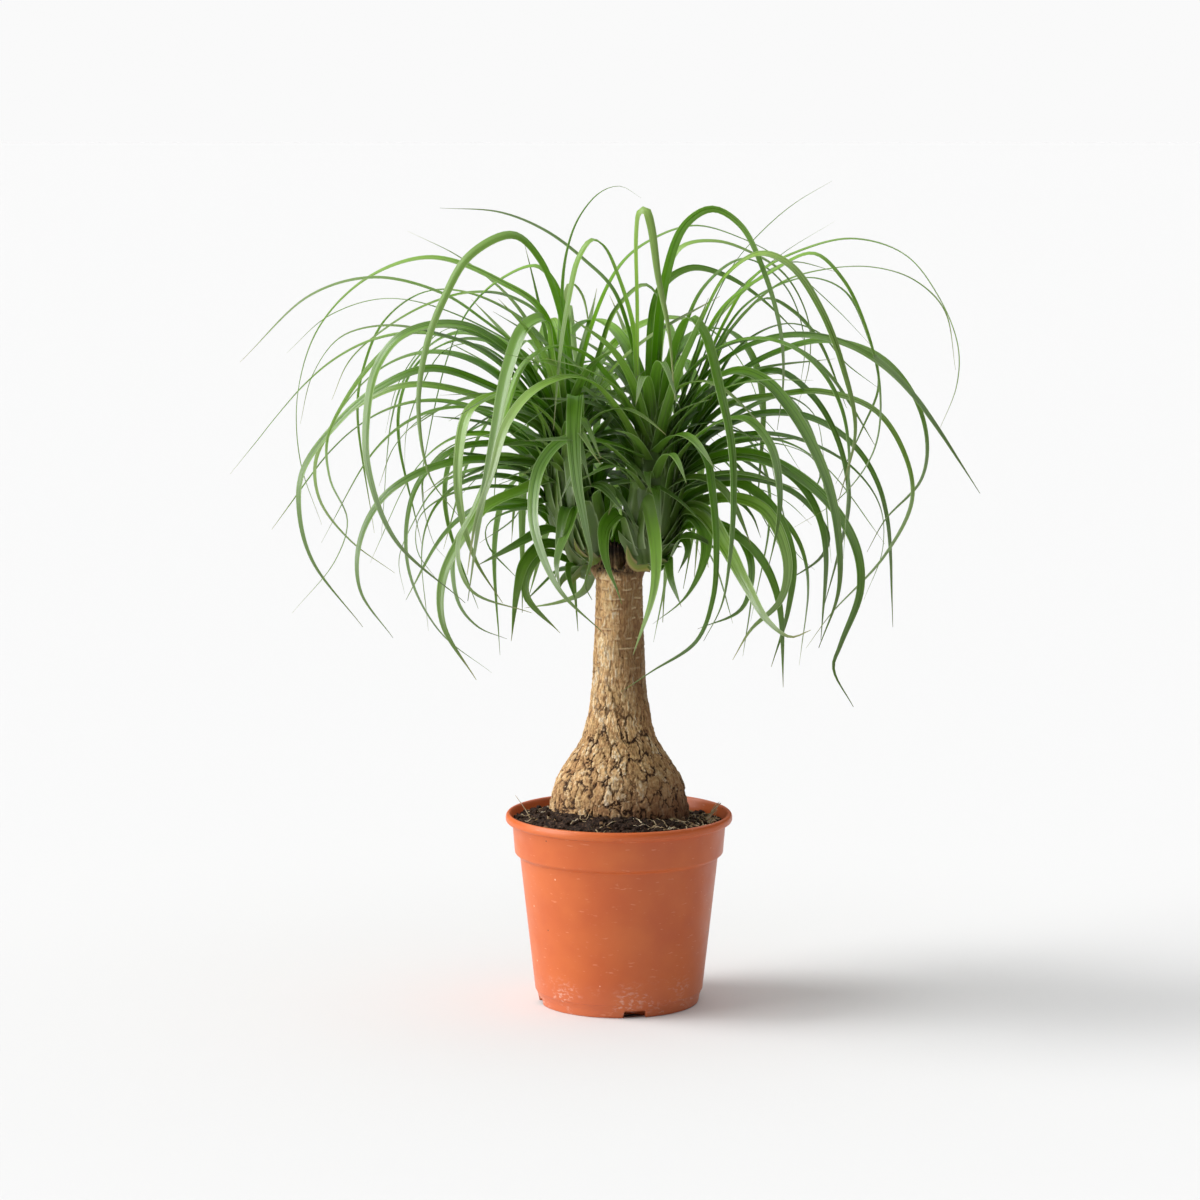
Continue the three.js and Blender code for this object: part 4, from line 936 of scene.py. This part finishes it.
def leaf_lines(name, shoot, solid):
    """Each leaf of a head as its line, and what its form takes: width, twist and how far up its shoot it grows."""
    head = HEADS[name]
    draw = draws(head["seed"])
    leaves = []
    for on, back, wide, *seen in TRACED_LEAVES[name]:
        root = at_share(*shoot, mix(*ROOTED, on))
        twist = mix(-60, 60, next(draw))
        line = taken_aside(lambda step: traced_line(root, back + 3 * step, seen), solid)
        leaves.append((line, wide, twist, on))
    for i in range(LEAVES_BEHIND):
        on = (i + 0.5) / LEAVES_BEHIND
        root = at_share(*shoot, mix(0.15, 0.92, on))
        azimuth = mix(head["from"], head["to"], i * GOLDEN_SHARE % 1) + mix(-8, 8, next(draw))
        lift = mix(18, 82, on ** 0.7) + mix(-6, 6, next(draw))
        fall = mix(-50, -115, next(draw))
        length = mix(270, 360, next(draw)) * mix(0.62, 1, min(1, on * 1.6))
        sway = mix(-25, 25, next(draw))
        wide, twist = mix(0.8, 1.15, next(draw)), mix(-60, 60, next(draw))
        line = taken_aside(lambda step: arched_line(root, azimuth + step, lift, fall, length, sway), solid)
        leaves.append((line, wide, twist, on))
    return [leaf for leaf in leaves if leaf[0] is not None]


# Short leaves too fine for the solid heads: the upright young ones in the heart of each head, shaded ones inside
# it, and old stubby ones round its foot, some green and grey, some faded. Each row of those is a width, how far it
# has faded (0 to 1), and the places that it is seen to pass, root to tip.
YOUNG_LEAVES = {"count": 22, "root": (0.45, 1), "lift": (60, 86), "fall": (-60, 45), "length": (105, 182)}
INNER_LEAVES = {"count": 30, "root": (0.05, 0.85), "lift": (20, 76), "fall": (-70, 15), "length": (75, 140)}
FOOT_LEAVES = {
    "left": [
        (0.5, 0.8, (592, 563), (584, 557), (577, 548), (574, 538)),
        (0.8, 0.1, (586, 568), (575, 560), (568, 549), (567, 538)),
        (0.6, 0.4, (596, 562), (590, 553), (588, 544), (590, 536)),
        (0.9, 0, (584, 570), (572, 572), (562, 580), (558, 592)),
        (0.7, 0.25, (588, 568), (580, 572), (573, 580), (571, 590)),
        (0.8, 0, (585, 560), (574, 548), (570, 534), (575, 522)),
    ],
    "right": [
        (1.2, 0, (640, 562), (634, 546), (628, 528), (622, 510)),
        (1.1, 0.03, (646, 562), (642, 546), (636, 530), (631, 518)),
        (0.75, 0.9, (647, 564), (638, 567), (630, 560), (627, 545)),
        (1, 0.08, (652, 562), (651, 546), (650, 530), (655, 514)),
        (0.9, 0, (652, 562), (662, 552), (672, 546), (682, 547)),
        (0.8, 0.3, (650, 566), (657, 562), (666, 562), (672, 569)),
        (0.8, 0, (640, 558), (632, 550), (623, 540), (618, 530)),
    ],
}
CLASP = {"reach": 42, "below": 16, "out": 0.8}


def clasped(line, passed, shoot_way, radius):
    """A leaf's line bent so that it starts on the shoot's skin, below its root, and runs up the shoot first."""
    out = at_share(line, passed, min(1, 50 / passed[-1])) - line[0]
    out = unit(out - shoot_way * (out @ shoot_way))
    hold = np.array([1 - eased(way, 0, CLASP["reach"]) for way in passed])[:, None]
    return line + hold * (out * radius * CLASP["out"] - shoot_way * CLASP["below"])


def blade(line, wide, twist, on, number, hold=None, inner=UP):
    """One leaf as a thin channelled strap, with its place along and across, its side and its own numbers. Its root
    is bent to clasp the shoot where the shoot's way and radius there are given, and its upper face looks inner."""
    line, passed = smooth_line(line)
    if hold:
        line = clasped(line, passed, *hold)
        passed = np.concatenate(((0,), np.cumsum(np.linalg.norm(np.diff(line, axis=0), axis=1))))
    length = passed[-1]
    count = max(12, round(length / BLADE_STEP))
    shares = np.linspace(0, 1, count + 1)
    centres = at_share(line, passed, shares)
    ways = np.gradient(centres, axis=0)
    side = None
    roll = ROLL * unit(centres[count // 3] - centres[0])[0]
    rings, looks, own = [], [], []
    for t, centre, way in zip(shares, centres, ways):
        way = unit(way)
        side = unit(np.cross(way, inner)) if side is None else unit(side - way * (side @ way))
        turn = math.radians(roll * eased(t, 0.02, 0.2) + 0.7 * twist * t * t)
        across = side * math.cos(turn) + np.cross(way, side) * math.sin(turn)
        under = np.cross(way, across)
        width = np.interp(t, *zip(*BLADE_WIDTH)) * min(wide, (1 + wide) / 2) ** (0.4 + 0.6 * min(1, t * 8))
        keel = mix(0.36, 0.15, eased(t, 0, 0.22)) * width
        thick = min(BLADE_THICK, 0.3 * width)
        top = [centre + across * (width / 2 * u) + under * max(0, keel * (1 - abs(u) ** 1.5) - thick)
               for u in ACROSS]
        low = [point + under * thick * (1 - 0.6 * abs(u) ** 3) for point, u in zip(top, ACROSS)]
        rings.append(top + low[::-1])
        looks += [(t, u, 0) for u in ACROSS] + [(t, u, 1) for u in ACROSS[::-1]]
        own += [(number, on, t * length)] * (2 * len(ACROSS))
    return *skin(rings), looks, own


def short_leaves(name, shoot):
    """A head's young, inner and foot leaves, as lines with their width, twist, place up the shoot and number."""
    leaves = []
    for kind in (YOUNG_LEAVES, INNER_LEAVES):
        for i in range(kind["count"]):
            on = random.uniform(*kind["root"])
            course = arched_line(at_share(*shoot, mix(0.3, 0.95, on)), azimuth=i * GOLDEN_SHARE * 360,
                                 sway=random.uniform(-20, 20), lift=random.uniform(*kind["lift"]),
                                 fall=random.uniform(*kind["fall"]), length=random.uniform(*kind["length"]))
            leaves.append((course, random.uniform(0.6, 0.95), random.uniform(-50, 50), on, random.random()))
    foot = shoot[0][0]
    for wide, faded, *seen in FOOT_LEAVES[name]:
        line = [sighted(*place, foot[1] - 11 - 2.5 * i) for i, place in enumerate(seen)]
        number = 1 + 0.5 * faded if faded else 0.7 * random.random()
        leaves.append((line, wide, random.uniform(-20, 20), 0.1, number, None, np.array((0, 1, 0))))
    return leaves


def shoot_skin(shoot):
    """The shoot inside the leaf roots, ridged where they wrap round it."""
    sides, steps = 40, 30
    shares = np.linspace(0, 1, steps + 1)
    centres = at_share(*shoot, shares)
    rings = []
    for t, centre, way in zip(shares, centres, np.gradient(centres, axis=0)):
        across = unit(np.cross(unit(way), (0, 1, 0)))
        beside = np.cross(unit(way), across)
        turns = np.arange(sides) * 2 * math.pi / sides
        ridges = 0.9 * np.abs(np.sin(turns * 2.5 + t * 11)) - 0.9
        radii = (np.interp(t, *zip(*SHOOT_RADIUS)) + ridges)[:, None]
        rings.append(centre + radii * (np.outer(np.cos(turns), across) + np.outer(np.sin(turns), beside)))
    points, faces = skin(rings)
    # These values give the shoot the leaf material's painted shade of the heart, near-black green.
    looks = [(0.01, 0, 1)] * len(points)
    own = [(0.3, 0, 0)] * len(points)
    return points, faces, looks, own


def living_leaf():
    """A living leaf: a waxy satin skin over fine lengthwise veins, yellow-green and bright where it is young,
    deeper and greyer where it is old, paler underneath and along its edges, and dried brown at its tip. Painted
    shade darkens it at its root and in the heart of each head."""
    material, tree, shader = new_material("waxy_leaf", IOR=1.45, Specular_IOR_Level=1)
    along = add_node(tree, "Attribute", out="Vector", attribute_name="blade")
    t, u, under = add_node(tree, "SeparateXYZ", {0: along}).node.outputs
    own = add_node(tree, "Attribute", out="Vector", attribute_name="own")
    number, on, reach = add_node(tree, "SeparateXYZ", {0: own}).node.outputs

    kin = add_node(tree, "ValToRGB", {0: number}, ((0, "#4c7c12"), (0.35, "#6ea416"), (0.7, "#98c82a"),
                                                   (1, "#c0d868")))
    kinship = add_node(tree, "Math", {0: t, 1: -0.35, 2: 0.55}, operation="MULTIPLY_ADD")
    age = add_node(tree, "Math", {0: 0.75, 1: on}, operation="SUBTRACT")
    old = add_node(tree, "Math", {0: age, 1: 0.6}, operation="MULTIPLY", use_clamp=True)
    # Painted shade: towards its root a leaf darkens to near-black green in the heart of each head, most of all on
    # leaves low on the shoot.
    near = add_node(tree, "MapRange", {0: reach, 1: 95, 2: 0, 3: 0, 4: 1})
    shade = add_node(tree, "Math", {0: on, 1: -0.75, 2: 1.15}, operation="MULTIPLY_ADD")
    heart_shade = add_node(tree, "Math", {0: near, 1: shade}, operation="MULTIPLY", use_clamp=True)
    deep = add_node(tree, "Math", {0: heart_shade, 1: 0.9}, operation="MULTIPLY")
    pale = add_node(tree, "Math", {0: under, 1: 0.35}, operation="MULTIPLY")
    place = add_node(tree, "CombineXYZ", {0: u, 1: reach, 2: number})
    lanes = add_node(tree, "Mapping", {"Vector": place, "Scale": (5.5, 0.008, 97)})
    veins = add_node(tree, "TexNoise", {"Vector": lanes, "Scale": 1, "Detail": 3})
    streaks = add_node(tree, "ValToRGB", {0: veins}, ((0.34, "#87976e"), (0.5, "#ffffff"), (0.66, "#fffff0")))
    out_from_keel = add_node(tree, "Math", {0: u}, operation="ABSOLUTE")
    edge = add_node(tree, "ValToRGB", {0: out_from_keel}, ((0.84, 0), (0.96, 0.6)))
    from_tip = add_node(tree, "Math", {0: 1, 1: t}, operation="SUBTRACT")
    dry_reach = add_node(tree, "Math", {0: number, 1: 0.09, 2: 0.02}, operation="MULTIPLY_ADD")
    dry = add_node(tree, "MapRange", {0: from_tip, 1: dry_reach, 2: 0, 3: 0, 4: 0.85})
    straw_brown = add_node(tree, "ValToRGB", {0: number}, ((0.2, "#564d3a"), (0.7, "#b8a67c")))
    dying = add_node(tree, "MapRange", {0: number, 1: 1, 2: 1.5, 3: 0, 4: 1})
    faded = add_node(tree, "ValToRGB", {0: out_from_keel}, ((0.3, "#97a03a"), (0.75, "#c4a868"), (1, "#7a4d2a")))

    # The darker olive at the very root, where the leaves clasp the shoot, is painted shade.
    colour = add_node(tree, "ValToRGB", {0: t}, ((0, "#4c6420"), (0.04, "#6a981c"), (0.12, "#8ecb0e"),
                                                 (0.35, "#90c42c"), (0.6, "#96b266"), (0.8, "#8e997a"),
                                                 (1, "#80795f")))
    for share, coat, blend in ((kinship, kin, "MIX"), (old, "#56742c", "MIX"), (deep, "#182a12", "MIX"),
                               (0.9, streaks, "MULTIPLY"), (pale, "#93b254", "MIX"), (edge, "#c4d49c", "MIX"),
                               (dying, faded, "MIX"), (dry, straw_brown, "MIX")):
        colour = add_node(tree, "Mix", {0: share, 6: colour, 7: coat}, out=2, data_type="RGBA", blend_type=blend)
    tree.links.new(colour, shader.inputs["Base Color"])
    gloss = add_node(tree, "MapRange", {0: veins, 1: 0.3, 2: 0.7, 3: 0.25, 4: 0.4})
    rough = add_node(tree, "Math", {0: under, 1: 0.12, 2: gloss}, operation="MULTIPLY_ADD")
    tree.links.new(rough, shader.inputs["Roughness"])
    bump = add_node(tree, "Bump", {"Height": veins, "Strength": 0.5, "Distance": 0.3 * MM})
    tree.links.new(bump, shader.inputs["Normal"])
    lit = add_node(tree, "Mix", {0: 0.55, 6: colour, 7: "#baf03a"}, out=2, data_type="RGBA")
    through = add_node(tree, "BsdfTranslucent", {0: lit})
    skin_share = add_node(tree, "MixShader", {0: 0.4, 1: shader.outputs[0], 2: through})
    tree.links.new(skin_share, tree.nodes["Material Output"].inputs["Surface"])
    return material


def solid_of(node):
    """A CAD node's surface, to find what lies on it."""
    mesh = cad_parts[node].data
    return BVHTree.FromPolygons([v.co[:] for v in mesh.vertices], [tuple(p.vertices) for p in mesh.polygons])


random.seed(5)
leaf_skin = living_leaf()
for name, head in HEADS.items():
    foot, top = (np.array(end, float) for end in head["stub"])
    stub_way = unit(top - foot)
    starts = [top + stub_way * way for way in (FIT_GAP, 5, 12)]
    shoot = smooth_line([*starts, *head["shoot"]])
    bodies = [shoot_skin(shoot)]
    for line, wide, twist, on in leaf_lines(name, shoot, solid_of("head_" + name)):
        share = mix(*ROOTED, on)
        shoot_way = unit(at_share(*shoot, share + 0.02) - at_share(*shoot, share - 0.02))
        radius = np.interp(share, *zip(*SHOOT_RADIUS))
        bodies.append(blade(line, wide, twist, on, random.random(), hold=(shoot_way, radius)))
    bodies += [blade(*leaf) for leaf in short_leaves(name, shoot)]
    looks, own = (np.concatenate([body[k] for body in bodies]) for k in (2, 3))
    vertices, faces, _ = merged([body[:2] for body in bodies])
    leaves = mesh_piece("leaf_head_" + name, vertices, faces, sharp=50, blade=looks, own=own)
    leaves.data.materials.append(leaf_skin)
    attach(leaves, "root")
    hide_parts("head_" + name)

# ---------------------------------------------------------------------------------------------- floor and light
# The plant stands on a plain pale studio floor. Two softboxes stand at the left, one low and one high, and a broad
# one hangs overhead; pale walls all round fill the shadows, and look as white as the floor to the camera.

FLOOR_REACH = 60000
corners = [(FLOOR_REACH * x, FLOOR_REACH * y, 0) for x, y in ((-1, -1), (1, -1), (1, 1), (-1, 1))]
floor = mesh_piece("studio_floor", corners, [(0, 1, 2, 3)])
white, _, paint = new_material("matt_white_paint", Roughness=1, Specular_IOR_Level=0)
paint.inputs["Base Color"].default_value = linear("#e1e1e1")
floor.data.materials.append(white)

# Each softbox by its azimuth and height in degrees, its energy and how wide it looks from the plant.
SOFTBOXES = {"high": (175, 47, 1.7, 26), "low": (195, 14, 2.6, 40), "ceiling": (100, 80, 2, 110)}
for name, (azimuth, height, energy, spread) in SOFTBOXES.items():
    softbox_data = bpy.data.lights.new("softbox_" + name, "SUN")
    softbox_data.energy = energy
    softbox_data.angle = math.radians(spread)
    softbox = bpy.data.objects.new("softbox_" + name, softbox_data)
    softbox.rotation_euler = (0, math.radians(90 - height), math.radians(azimuth))
    bpy.context.scene.collection.objects.link(softbox)

# How bright the walls are as a light on the plant, and as the camera sees them behind it.
WALLS = {"as_light": 0.05, "as_seen": 0.955}
walls = bpy.data.worlds.new("white_walls")
walls.use_nodes = True
sky = walls.node_tree
seen = add_node(sky, "LightPath", out="Is Camera Ray")
bright = add_node(sky, "MapRange", {0: seen, 3: WALLS["as_light"], 4: WALLS["as_seen"]})
sky.links.new(bright, sky.nodes["Background"].inputs["Strength"])
sky.nodes["Background"].inputs["Color"].default_value = (1, 1, 1, 1)
bpy.context.scene.world = walls
bpy.context.scene.view_settings.view_transform = "Standard"
